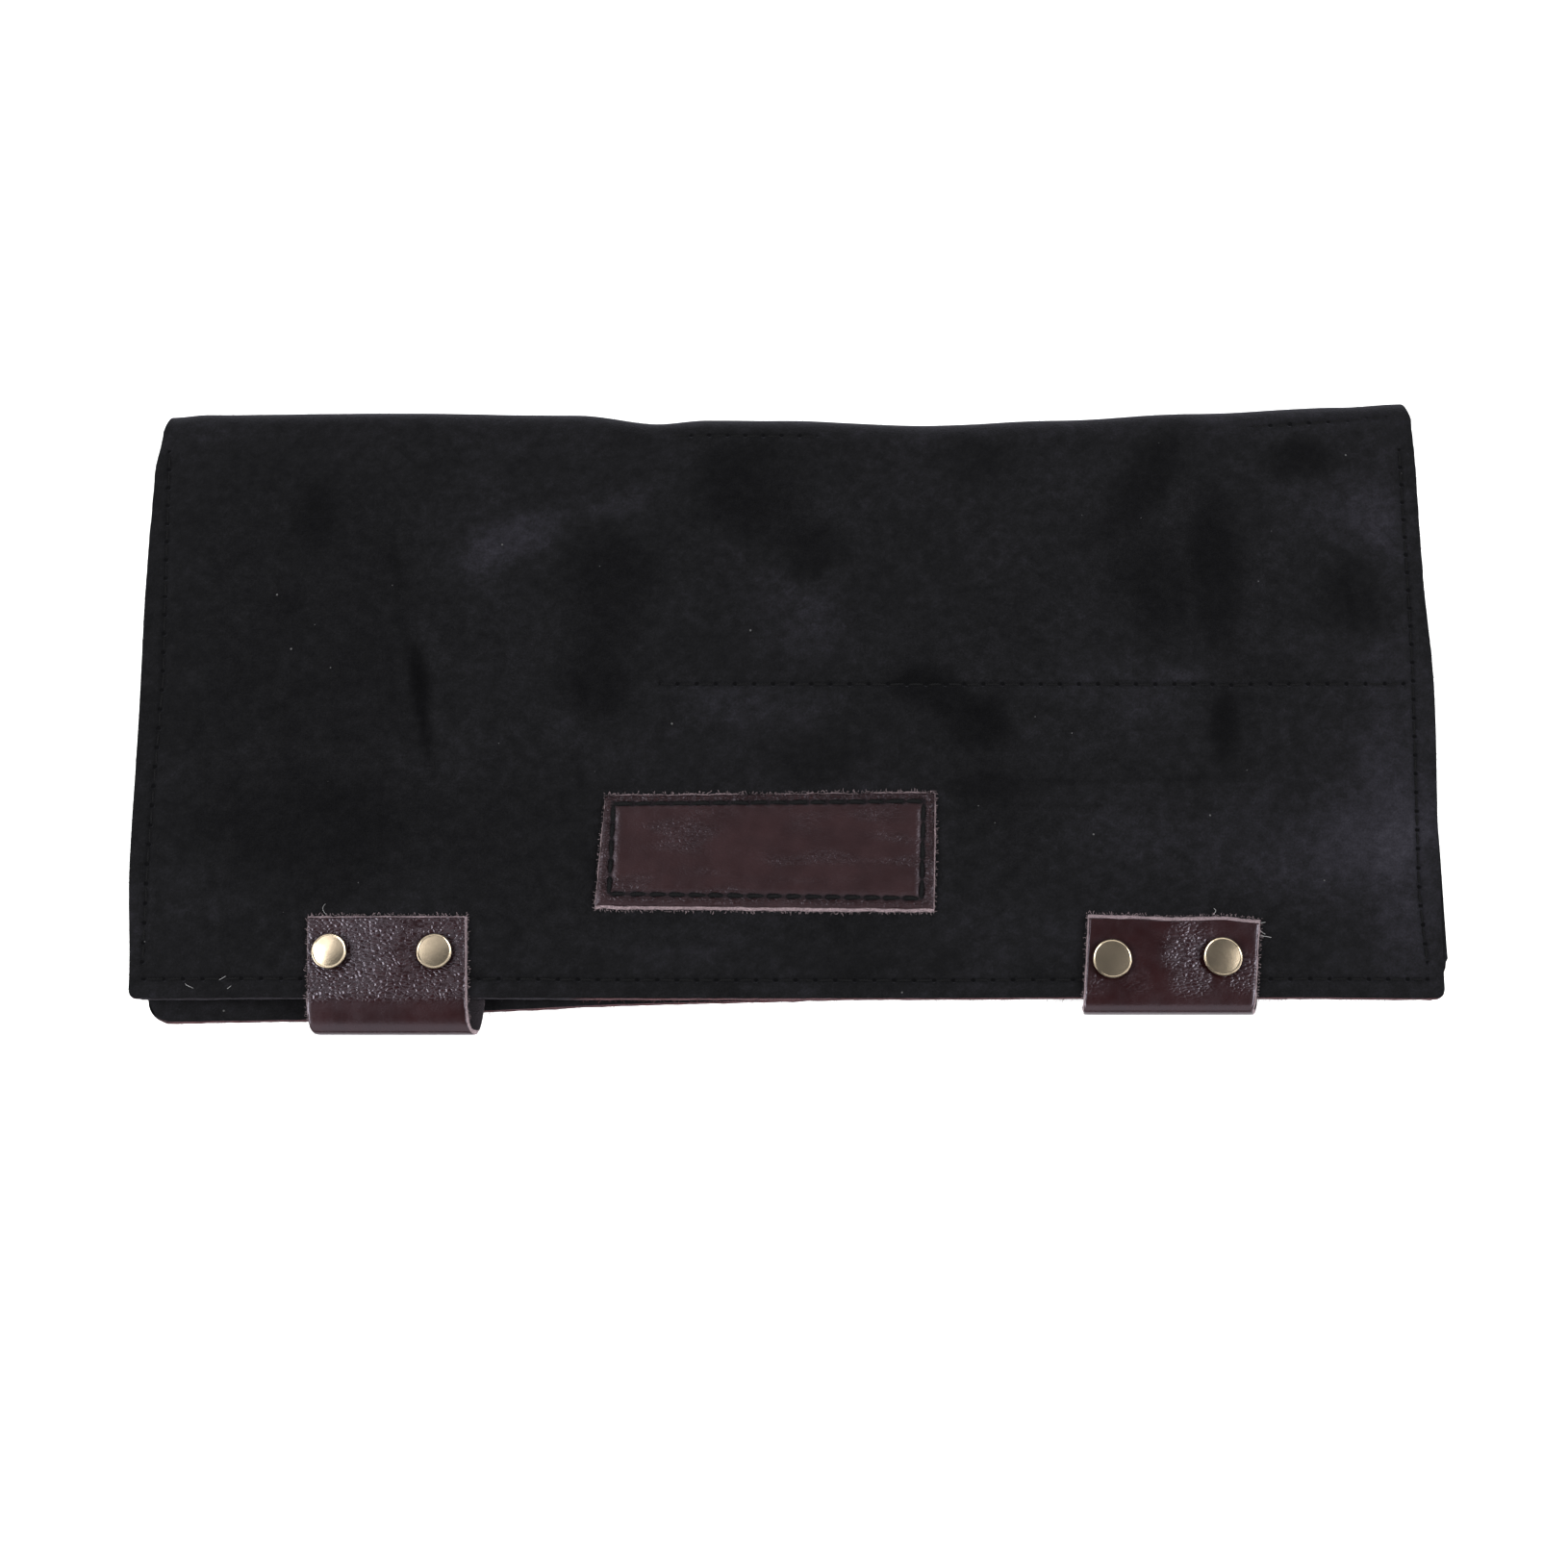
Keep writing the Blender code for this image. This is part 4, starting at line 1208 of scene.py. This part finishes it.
def make_patch(sizes, material):
    columns, rows = PATCH_COLUMNS, PATCH_ROWS
    under, top, grain, stitching = [], [], [], []
    line = patch_line()
    slant = sizes.cut_slant
    for r in range(rows + 1):
        up = r / rows * 2 - 1
        low_row, top_row = [], []
        for c in range(columns + 1):
            across = c / columns * 2 - 1
            wave_x = noise.noise(Vector((up * 3.0, across * 9.0, 2.0))) * 0.0003
            x, y = patch_place(across, up)
            low_row.append(Vector((x, y + wave_x, flap_height(x, y) + GAP + flap_relief(x, y))))
            up_in = up * (1.0 - slant * (0.8 if up > 0 else 1.7) / PATCH_HEIGHT * 2)
            side = 0.7 if across > 0 else 0.2
            x, y = patch_place(across * (1.0 - slant * side / PATCH_WIDTH * 2), up_in)
            y += wave_x
            stitches, beside, near = seam_coordinates(x, y, (line,), sizes.stitch_pitch)
            lift = seam_relief(stitches, beside, sizes.seam_depth * 1.8) * near
            edge = min(1 - abs(across), 1.0) * PATCH_WIDTH / 2, min(1 - abs(up), 1.0) * PATCH_HEIGHT / 2
            lift -= 0.00028 * (1.0 - smooth(min(edge) / 0.0011))
            crumple = smooth((x - 0.0330) / 0.0015) * smooth((y - 0.0300) / 0.01)
            lift += crumple * 0.00030 * noise.noise(Vector((x / 0.0022, (y + x) / 0.0011, 0.0)))
            ruffle = smooth((y - 0.0482) / 0.0008) * 0.00034
            lift += ruffle * noise.noise(Vector((x / 0.0010, y / 0.004, 5.0)))
            lift += 0.00018 * noise.noise(Vector((x / 0.014, y / 0.010, 1.0)))
            base = flap_height(x, y) + GAP + PATCH_THICKNESS + flap_relief(x, y)
            top_row.append(Vector((x, y, base + lift)))
            fringe = smooth((y - 0.0482) / 0.0006)
            foot = math.exp(-((beside - 0.0012) / 0.0011) ** 2) * near
            stitching.append(Vector((stitches, abs(beside), near)))
            patchy = smooth(noise.noise(Vector((x / 0.016, y / 0.004, 9.0))) * 2.0 + 0.2) * 0.35
            grain.append(min(0.12 + patchy + 0.7 * fringe + 0.8 * crumple + 0.5 * foot, 1.0))
        under.append(low_row)
        top.append(top_row)
    points, faces, _ = walled(top, under, 0.00012, 0.00028)
    values = leather_values(grain, points)
    values["seam"] = stitching + [Vector(NO_SEAM)] * (len(points) - len(stitching))
    return make_piece("bare_label_patch", points, faces, material, values)


# The belt loops

def end_wave(loop, across, run):
    """How far the strap's cut end wanders from a straight line, fading down the leg."""
    if loop.name == "left":
        return 0.0
    return read_table(RIGHT_END, across, "reach") * (1.0 - smooth(run / WAVE_FADE))


def strap_way(loop):
    """The strap's outer line, closely spaced: lists of the length along it, and of (y, z, turned)."""
    middle = (FRONT_LEG_TOP + BACK_LEG_BASE) / 2
    half = (FRONT_LEG_TOP - BACK_LEG_BASE) / 2
    nose = loop.drop * LOOP_DROP + NOSE_SAG
    legs = [step / 40 for step in range(41)]
    way = [(STRAP_LEG * share, middle + half, FRONT_HEM * (1.0 - share)) for share in reversed(legs)]
    for step in range(1, 96):
        across, down = math.sin(math.pi * step / 96), math.cos(math.pi * step / 96)
        z = middle + math.copysign(half * abs(down) ** NOSE_SQUARENESS, down)
        way.append((-nose * across ** NOSE_SQUARENESS, z, mix(FRONT_HEM, BACK_HEM_TURN, step / 96)))
    way += [(STRAP_LEG * share, middle - half, mix(BACK_HEM_TURN, 1.0, share)) for share in legs]
    lengths = [0.0]
    for a, b in zip(way, way[1:]):
        lengths.append(lengths[-1] + math.hypot(b[0] - a[0], b[1] - a[1]))
    return lengths, way


def strap_place(loop, lengths, way, across, run):
    """A place on the strap's outer face, at a share across it and a length along it."""
    run = min(max(run, 0.0), lengths[-1])
    high = min(max(bisect.bisect_left(lengths, run), 1), len(way) - 1)
    share = (run - lengths[high - 1]) / max(lengths[high] - lengths[high - 1], 1e-9)
    y, z, turned = (mix(a, b, share) for a, b in zip(way[high - 1], way[high]))
    width = loop_width(loop) - loop.taper * LOOP_TAPER * math.sin(math.pi * turned)
    lean = read_table(loop.leans, turned, "share", ease=float)
    x = loop_centre(loop) + (across - 0.5) * width + loop.skew * loop_width(loop) * lean
    return Vector((x, y + end_wave(loop, min(max(across, 0.0), 1.0), run), z))


def rivet_place(loop, rivet):
    return Vector((loop_centre(loop) + rivet.across * loop_width(loop), rivet.up * STRAP_LEG, 0.0))


def loop_rivets(loop):
    return [rivet for rivet in RIVETS if rivet.loop == loop.name]


def strap_lift(loop, place):
    """How the front leg swells up round its rivets, which press it down."""
    left, right = (rivet_place(loop, rivet) for rivet in loop_rivets(loop))
    inside = smooth((place.y + 0.002) / 0.007)
    middle = (left.x + right.x) / 2 + (0.002 if loop.name == "left" else 0.0)
    swell = SWELL_EDGE + SWELL_MIDDLE * math.exp(-((place.x - middle) / SWELL_REACH) ** 2)
    swell += 0.00012 * noise.noise(place / 0.008) + 0.00005 * noise.noise(place / 0.0035)
    for rivet in (left, right):
        away = math.hypot(place.x - rivet.x, place.y - rivet.y)
        swell *= 1.0 - CAP_PRESS * math.exp(-max(away - 0.0040, 0.0) / CAP_PRESS_REACH)
        angle = math.atan2(place.y - rivet.y, place.x - rivet.x)
        below = smooth((-math.sin(angle) + 0.1) / 0.5)
        pleat = math.sin(angle * 17.0 + 4.0 * noise.noise(place / 0.005)) * below
        swell += 0.00004 * pleat * smooth((away - 0.0044) / 0.001) * (1.0 - smooth((away - 0.0058) / 0.003))
    return 0.00002 + swell * inside


def spot_strength(place, spots, base):
    strength = base
    for spot in spots:
        away = math.hypot(place.x - spot.x, place.y - spot.y)
        strength = max(strength, spot.strength * (1.0 - smooth((away / spot.reach - 0.5) / 0.9)))
    return strength


def make_strap(loop, sizes, material):
    lengths, way = strap_way(loop)
    columns, rows = STRAP_COLUMNS, STRAP_ROWS
    left = loop.name == "left"
    spots, base = (LEFT_GRAIN, 0.65) if left else (RIGHT_GRAIN, 0.06)
    slant = sizes.cut_slant
    top_slant = slant * (1.3 if left else 2.7)
    left_slant, right_slant = slant * (0.3 if left else 0.6), slant * (1.1 if left else 1.3)
    width = loop_width(loop)
    flesh_base = [
        [strap_place(loop, lengths, way, c / columns, lengths[-1] * r / rows) for c in range(columns + 1)]
        for r in range(rows + 1)
    ]
    flesh_out = grid_normals(flesh_base)
    outer, inner, grain = [], [], []
    for r in range(rows + 1):
        outer_row, inner_row = [], []
        for c in range(columns + 1):
            across = c / columns
            wander = noise.noise(Vector((across * 5.0, 0.0, 3.0 if left else 8.0))) * 0.0004
            inset = top_slant + (wander if not left else wander * 0.4)
            run = mix(inset, lengths[-1] - slant, r / rows)
            at = mix(left_slant / width, 1.0 - right_slant / width, across)
            place = strap_place(loop, lengths, way, at, run)
            after, before = (strap_place(loop, lengths, way, at, run + step) for step in (0.0002, -0.0002))
            normal = (after - before).cross(Vector((1.0, 0.0, 0.0))).normalized()
            front = r / rows < 0.5
            lift = strap_lift(loop, place) if front and place.z > FLAP_TOP else 0.0
            edge = min(across, 1.0 - across) * width
            lift -= 0.00008 * (1.0 - smooth(edge / 0.0008))
            outer_row.append(place + normal * lift)
            level = spot_strength(place, spots, base) if front else 0.3
            fade = smooth((place.y + 0.0022) / 0.0030) if front else 1.0
            grain.append(mix(0.04, level, fade))
            flesh = flesh_base[r][c]
            ragged = noise.noise(Vector((across * 40.0, r / rows * 60.0, 1.0))) * 0.00015
            out = flesh_out[r][c] if flesh_out[r][c].dot(normal) > 0 else -flesh_out[r][c]
            follow = lift * 0.8 if front else 0.0
            inner_row.append(flesh - out * (STRAP_THICKNESS - follow) + Vector((0.0, ragged if r == 0 else 0.0, 0.0)))
        outer.append(outer_row)
        inner.append(inner_row)
    points, faces, _ = walled(outer, inner, 0.00012, 0.00016)
    return make_piece(f"riveted_loop_{loop.name}", points, faces, material, leather_values(grain, points))


# Rivets

def make_rivet(loop, rivet, sizes, material):
    place = rivet_place(loop, rivet)
    shape = CAPS[loop.name, rivet.side]
    tilt = Vector((math.radians(shape.tilt_x), math.radians(shape.tilt_y), 0.0))
    caps = (
        {
            "Place": place + UP * CAP_BASE + TO_FRAME, "Height": CAP_HEIGHT - 0.00015, "Rim": 0.00026,
            "Crown": shape.crown, "Up": 1.0, "Tilt": tilt, "Rings": 44, "Sides": 73,
        },
        {
            "Place": place + UP * (BACK_CAP_BASE + BACK_CAP_HEIGHT) + TO_FRAME, "Height": BACK_CAP_HEIGHT,
            "Rim": 0.0004, "Crown": 0.00004, "Up": -1.0, "Tilt": Vector((0.0, 0.0, 0.0)), "Rings": 30, "Sides": 49,
        },
    )
    radius = sizes.cap_diameter * loop.cap / 2
    meshes = [grown("Rivet cap", bpy.data.meshes.new("seat"), material, Radius=radius, **cap) for cap in caps]
    return join_meshes(f"brass_rivet_{loop.name}_{rivet.side}", meshes, material, outwards=True)


# Stitches, fibres and lint

def ray_surface(piece):
    """A search tree over a piece, in the frame's coordinates."""
    mesh = piece.data
    return BVHTree.FromPolygons([v.co.copy() for v in mesh.vertices], [tuple(p.vertices) for p in mesh.polygons])


def drop_on(surface, x, y):
    """The place and the normal that are met from above at (x, y)."""
    start = Vector((x, y, 0.05)) + TO_FRAME
    place, normal, _, _ = surface.ray_cast(start, Vector((0.0, 0.0, -1.0)))
    if place is None:
        raise RuntimeError(f"nothing lies under {x:.4f}, {y:.4f}")
    return place - TO_FRAME, normal


def lay_line(surface, line, step, lift):
    """A line laid on a surface, with points every step."""
    places = []
    for start, end in zip(line, line[1:]):
        a, b = Vector(start), Vector(end)
        count = max(1, round((b - a).length / step))
        for i in range(count + (end == line[-1])):
            spot = a.lerp(b, i / count)
            places.append(drop_on(surface, spot.x, spot.y)[0] + UP * lift)
    return places


def smoothed(places, reach):
    """Evens out a line's height, so that stitches don't follow each pucker."""
    result = []
    for i, place in enumerate(places):
        near = places[max(i - reach, 0):i + reach + 1]
        result.append(Vector((place.x, place.y, sum(p.z for p in near) / len(near))))
    return result


def make_stitches(name, surface, seams, sizes, material, radius):
    meshes = []
    for seed, (bow, line) in enumerate(seams, start=1):
        count, _ = seam_steps(line, sizes.stitch_pitch)
        path = smoothed(lay_line(surface, line, 0.0006, 0.00008), 5)
        meshes.append(grown(
            "Running stitch", line_mesh(path), material, Count=count, Length=sizes.stitch_length, Radius=radius,
            Bow=bow, Sink=0.00045, Wobble=0.07, Seed=seed,
        ))
    return join_meshes(name, meshes, material)


def make_fuzz(name, lines, material, **inputs):
    """Fibres along several lines, each given as its points and their outward directions."""
    meshes = [
        grown("Edge fibres", line_mesh(points, outward), material, Seed=seed, **inputs)
        for seed, (points, outward) in enumerate(lines, start=1)
    ]
    return join_meshes(name, meshes, material)


def hem_lines():
    """The cut edges that show reddish: the back panel's hem and the flap's hem to the right."""
    lines = []
    across = [0.014 + 0.35 * step / 200 for step in range(201)]
    points = [back_point(share, 0.0) + Vector((0.0, 0.0, 0.0012)) for share in across]
    lines.append((points, [Vector((0.0, -1.0, 0.1))] * len(points)))
    for start, end in ((0.345, 0.72), (0.858, 0.992)):
        points = [flap_point(mix(start, end, step / 260), 0.0) - UP * 0.0016 for step in range(261)]
        lines.append((points, [Vector((0.0, -1.0, -0.1))] * len(points)))
    return lines


def outline_lines():
    """The nap that stands out round the fold and the sides."""
    crest = [fold_point(0.01 + 0.98 * step / 300, 0.46) for step in range(301)]
    lines = [(crest, [Vector((0.0, 1.0, 0.2))] * len(crest))]
    for across, way in ((0.0, -1.0), (1.0, 1.0)):
        points = [flap_point(across, 0.01 + 0.98 * step / 200) - UP * 0.0004 for step in range(201)]
        lines.append((points, [Vector((way, 0.0, 0.15))] * len(points)))
    hem = [flap_point(0.01 + 0.98 * step / 300, 0.0) - UP * 0.0004 for step in range(301)]
    lines.append((hem, [Vector((0.0, -1.0, 0.1))] * len(hem)))
    return lines


def leather_edge_lines():
    """The cut edges of the loops' front legs and of the patch."""
    lines = []
    for loop in LOOPS:
        lengths, way = strap_way(loop)
        top = [strap_place(loop, lengths, way, step / 80, 0.0) - UP * 0.0005 for step in range(81)]
        lines.append((top, [Vector((0.0, 1.0, 0.35))] * len(top)))
        for across, side in ((0.0, -1.0), (1.0, 1.0)):
            edge = [strap_place(loop, lengths, way, across, 0.026 * step / 60) - UP * 0.0006 for step in range(61)]
            lines.append((edge, [Vector((side, 0.0, 0.2))] * len(edge)))
    corners = ((-1, -1), (1, -1), (1, 1), (-1, 1), (-1, -1))
    for (a0, u0), (a1, u1) in zip(corners, corners[1:]):
        edge = []
        for step in range(101):
            x, y = patch_place(mix(a0, a1, step / 100), mix(u0, u1, step / 100))
            edge.append(Vector((x, y, flap_height(x, y) + GAP + 0.0004)))
        out = Vector(((a0 + a1) / 2, (u0 + u1) / 2, 0.2)).normalized()
        lines.append((edge, [out] * len(edge)))
    return lines


def make_strands(surface_under, material):
    """Loose fibres and lint, each a thin bowed tube."""
    points, faces = [], []
    for strand in STRANDS:
        path = []
        for step in range(9):
            share = step / 8
            x, y = strand.x + strand.dx * share, strand.y + strand.dy * share
            x += strand.dy * 0.25 * math.sin(math.pi * share)
            try:
                ground = drop_on(surface_under, x, y)[0].z
            except RuntimeError:
                ground = path[-1].z if path else 0.0
            path.append(Vector((x, y, ground + 0.0001 + strand.bow * math.sin(math.pi * share))))
        faces += tube(points, path, strand.width / 2)
    return make_piece("loose_fibres", points, faces, material)


# Stage

FLOOR_HALF = 2.5
CAMERA_PLACE = (-0.001106, -0.16358, 0.58218)
CAMERA_TILT = 14.0
CAMERA_LENS = 54.53
WORLD_GLOW, BACKDROP_GLOW = 0.088, 0.85


def make_floor():
    mesh = bpy.data.meshes.new("studio_floor")
    corners = [(x * FLOOR_HALF, y * FLOOR_HALF, 0.0) for x, y in ((-1, -1), (1, -1), (1, 1), (-1, 1))]
    mesh.from_pydata(corners, [], [(0, 1, 2, 3)])
    material, graph, shader, _ = new_material("pale_floor")
    set_shader(
        graph, shader, Base_Color=(0.92, 0.92, 0.925, 1.0), Roughness=1.0, Specular_IOR_Level=0.0,
        Emission_Color=(1.0, 1.0, 1.0, 1.0), Emission_Strength=0.3,
    )
    mesh.materials.append(material)
    return add_object("studio_floor", mesh)


Softbox = namedtuple("Softbox", "name place width height power")
SOFTBOXES = (
    Softbox("left_softbox", (-0.95, -0.25, 0.85), 0.6, 0.6, 18.4),
    Softbox("right_softbox", (1.00, -0.25, 0.90), 0.7, 0.7, 20.4),
    Softbox("left_ceiling", (-0.80, 0.36, 1.10), 0.8, 0.8, 3.8),
    Softbox("middle_ceiling", (-0.26, 0.40, 1.35), 0.9, 0.45, 0.76),
    Softbox("left_wall", (-1.10, 0.10, 1.00), 0.5, 1.2, 6.0),
    Softbox("right_wall", (1.10, 0.10, 1.00), 0.5, 1.2, 5.0),
    Softbox("front_wall", (0.0, -1.00, 0.90), 2.0, 1.2, 12.5),
    Softbox("back_wall", (0.0, 1.15, 0.72), 2.0, 0.8, 9.0),
)


def add_softbox(name, place, width, height, power):
    lamp = bpy.data.lights.new(name, "AREA")
    lamp.shape = "RECTANGLE"
    lamp.size, lamp.size_y = width, height
    lamp.energy = power
    holder = bpy.data.objects.new(name, lamp)
    holder.location = place
    holder.rotation_euler = (-Vector(place)).to_track_quat("-Z", "Y").to_euler()
    bpy.context.scene.collection.objects.link(holder)
    return holder


def add_camera():
    camera = bpy.data.cameras.new("view_from_above")
    camera.lens = CAMERA_LENS
    camera.sensor_width = 36.0
    camera.clip_start = 0.01
    holder = bpy.data.objects.new("view_from_above", camera)
    holder.location = CAMERA_PLACE
    holder.rotation_euler = (math.radians(CAMERA_TILT), 0.0, 0.0)
    bpy.context.scene.collection.objects.link(holder)
    bpy.context.scene.camera = holder


# Properties, operators and panel

def length_property(label, text, value):
    return bpy.props.FloatProperty(
        name=label, description=text, default=value, min=0.0, precision=5, unit="LENGTH", subtype="DISTANCE",
    )


def color_property(label, text, value):
    return bpy.props.FloatVectorProperty(
        name=label, description=text, default=value, min=0.0, max=1.0, size=3, subtype="COLOR",
    )


class CaseSizes(bpy.types.PropertyGroup):
    stitch_pitch: length_property("Stitch pitch", "Distance from one stitch hole to the next", 0.0048)
    stitch_length: length_property("Stitch length", "Length of thread that shows between two holes", 0.0036)
    thread_diameter: length_property("Thread", "Diameter of the sewing thread", 0.00062)
    seam_depth: length_property("Seam depth", "How deep a seam presses into the suede", 0.00028)
    cut_slant: length_property("Cut slant", "How far a leather edge slants out under its face", 0.00042)
    cap_diameter: length_property("Rivet cap", "Diameter of a rivet's cap", 0.0090)
    fibre_length: length_property("Fibres", "Longest fibre on a cut edge", 0.0009)


class CaseColours(bpy.types.PropertyGroup):
    suede: color_property("Suede", "Suede with its nap brushed down", (0.0046, 0.0046, 0.0050))
    suede_light: color_property("Raised nap", "Suede with its nap brushed up", (0.0052, 0.0050, 0.0063))
    suede_edge: color_property("Suede's cut edge", "Raw edge of the suede", (0.070, 0.032, 0.034))
    patch: color_property("Patch", "Leather of the label patch", (0.0149, 0.0074, 0.0079))
    strap: color_property("Belt loops", "Leather of the belt loops", (0.0099, 0.0023, 0.0023))
    leather_edge: color_property("Leather's cut edge", "Raw edge of the leather", (0.235, 0.180, 0.192))
    # Painted shade: near-black for the shade inside the loops, not the reddish brown of the rough side.
    flesh: color_property("Leather's underside", "Rough side of the leather", (0.0060, 0.0040, 0.0042))
    thread: color_property("Thread", "Sewing thread", (0.0030, 0.0030, 0.0033))
    brass: color_property("Brass", "Antique brass of the rivets", (0.62, 0.51, 0.37))


class CASE_OT_suede(bpy.types.Operator):
    """Make the folded suede cover and the lining inside it"""
    bl_idname = "scissor_case.suede"
    bl_label = "Suede cover and lining"

    def execute(self, context):
        colours, sizes = context.scene.case_colours, context.scene.case_sizes
        cover = make_suede_cover(sizes, suede_material("brushed_black_suede", colours))
        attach(cover, BODY)
        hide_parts("suede_cover")
        lining = make_lining(suede_material("lining_black_suede", colours))
        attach(lining, BODY)
        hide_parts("lining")
        return {"FINISHED"}


class CASE_OT_patch(bpy.types.Operator):
    """Make the bare label patch"""
    bl_idname = "scissor_case.patch"
    bl_label = "Label patch"

    def execute(self, context):
        colours, sizes = context.scene.case_colours, context.scene.case_sizes
        material = leather_material("brown_patch_leather", colours.patch, colours, 1250.0, 0.32, 0.00022, 0.15)
        patch = make_patch(sizes, material)
        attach(patch, BODY)
        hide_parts("label_patch")
        return {"FINISHED"}


class CASE_OT_loops(bpy.types.Operator):
    """Make the two belt loops"""
    bl_idname = "scissor_case.loops"
    bl_label = "Belt loops"

    def execute(self, context):
        colours, sizes = context.scene.case_colours, context.scene.case_sizes
        material = leather_material("brown_strap_leather", colours.strap, colours, 1120.0, 0.26, 0.00015, 0.44)
        for loop in LOOPS:
            strap = make_strap(loop, sizes, material)
            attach(strap, BODY)
            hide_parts(f"belt_loop_{loop.name}")
        return {"FINISHED"}


class CASE_OT_rivets(bpy.types.Operator):
    """Make the four brass rivets"""
    bl_idname = "scissor_case.rivets"
    bl_label = "Rivets"

    def execute(self, context):
        material = brass_material(context.scene.case_colours)
        for loop in LOOPS:
            for rivet in loop_rivets(loop):
                piece = make_rivet(loop, rivet, context.scene.case_sizes, material)
                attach(piece, BODY)
                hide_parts(f"rivet_{loop.name}_loop_{rivet.side}")
        return {"FINISHED"}


class CASE_OT_stitches(bpy.types.Operator):
    """Sew the flap's seams and the patch"""
    bl_idname = "scissor_case.stitches"
    bl_label = "Stitches"

    def execute(self, context):
        sizes = context.scene.case_sizes
        material = thread_material(context.scene.case_colours)
        radius = sizes.thread_diameter / 2
        flap = ray_surface(bpy.data.objects["folded_suede_cover"])
        sewn = make_stitches("flap_stitches", flap, SEAMS, sizes, material, radius)
        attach(sewn, BODY)
        plate = ray_surface(bpy.data.objects["bare_label_patch"])
        corners = patch_line()
        sides = [Seam(0.0010, (corners[i], corners[i + 1])) for i in range(4)]
        sewn = make_stitches("patch_stitches", plate, sides, sizes, material, radius * 1.8)
        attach(sewn, BODY)
        return {"FINISHED"}


class CASE_OT_fibres(bpy.types.Operator):
    """Add the fibres of the cut edges, the nap's outline and loose lint"""
    bl_idname = "scissor_case.fibres"
    bl_label = "Fibres and lint"

    def execute(self, context):
        colours, sizes = context.scene.case_colours, context.scene.case_sizes
        longest = sizes.fibre_length
        red = fibre_material("reddish_fibres", colours.suede_edge)
        pale = fibre_material("pale_fibres", colours.leather_edge)
        black = fibre_material("black_fibres", colours.suede_light)
        lint = fibre_material("grey_lint", (0.30, 0.30, 0.30))
        pieces = (
            (make_fuzz(
                "hem_fibres", hem_lines(), red, Spacing=0.00045, Shortest=longest * 0.3, Longest=longest,
                Stoutness=0.06, Spread=0.0005, Lean=1.0,
            ), "lining_suede"),
            (make_fuzz(
                "nap_outline_fibres", outline_lines(), black, Spacing=0.0006, Shortest=longest * 0.25,
                Longest=longest * 0.55, Stoutness=0.10, Spread=0.0006, Lean=0.9,
            ), "black_suede"),
            (make_fuzz(
                "leather_edge_fibres", leather_edge_lines(), pale, Spacing=0.00038, Shortest=longest * 0.3,
                Longest=longest * 0.9, Stoutness=0.06, Spread=0.0003, Lean=0.9,
            ), "strap_leather"),
            (make_strands(ray_surface(bpy.data.objects["folded_suede_cover"]), lint), "lining_suede"),
        )
        for piece, slot in pieces:
            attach(piece, BODY)
        return {"FINISHED"}


class CASE_OT_stage(bpy.types.Operator):
    """Add the pale floor, the soft studio light and the camera"""
    bl_idname = "scissor_case.stage"
    bl_label = "Floor, light and camera"

    def execute(self, context):
        make_floor()
        world = bpy.data.worlds.new("studio")
        world.use_nodes = True
        graph = Graph(world.node_tree)
        seen = graph.add("ShaderNodeLightPath").outputs["Is Camera Ray"]
        backdrop = world.node_tree.nodes["Background"]
        backdrop.inputs["Color"].default_value = (0.93, 0.95, 1.0, 1.0)
        graph.set_input(backdrop.inputs["Strength"], graph.plus_times(seen, BACKDROP_GLOW, WORLD_GLOW))
        context.scene.world = world
        for name, place, width, height, power in SOFTBOXES:
            add_softbox(name, place, width, height, power)
        add_camera()
        context.scene.view_settings.view_transform = "Standard"
        return {"FINISHED"}


class CASE_PT_panel(bpy.types.Panel):
    """Lists the case's sizes, colours and pieces"""
    bl_idname = "CASE_PT_panel"
    bl_label = "Scissor case"
    bl_space_type = "VIEW_3D"
    bl_region_type = "UI"
    bl_category = "Case"

    def draw(self, context):
        for group in (context.scene.case_sizes, context.scene.case_colours):
            box = self.layout.box()
            for key in group.bl_rna.properties.keys():
                if key not in {"rna_type", "name"}:
                    box.prop(group, key)
        for operator in OPERATORS:
            self.layout.operator(operator.bl_idname)


OPERATORS = (
    CASE_OT_suede, CASE_OT_patch, CASE_OT_loops, CASE_OT_rivets, CASE_OT_stitches, CASE_OT_fibres, CASE_OT_stage,
)
CLASSES = (CaseSizes, CaseColours, *OPERATORS, CASE_PT_panel)


def register():
    for item in CLASSES:
        bpy.utils.register_class(item)
    bpy.types.Scene.case_sizes = bpy.props.PointerProperty(type=CaseSizes)
    bpy.types.Scene.case_colours = bpy.props.PointerProperty(type=CaseColours)


def unregister():
    del bpy.types.Scene.case_colours
    del bpy.types.Scene.case_sizes
    for item in reversed(CLASSES):
        bpy.utils.unregister_class(item)


def main():
    register()
    bpy.ops.scissor_case.suede()
    bpy.ops.scissor_case.patch()
    bpy.ops.scissor_case.loops()
    bpy.ops.scissor_case.rivets()
    bpy.ops.scissor_case.stitches()
    bpy.ops.scissor_case.fibres()
    bpy.ops.scissor_case.stage()


if __name__ == "__main__":
    main()
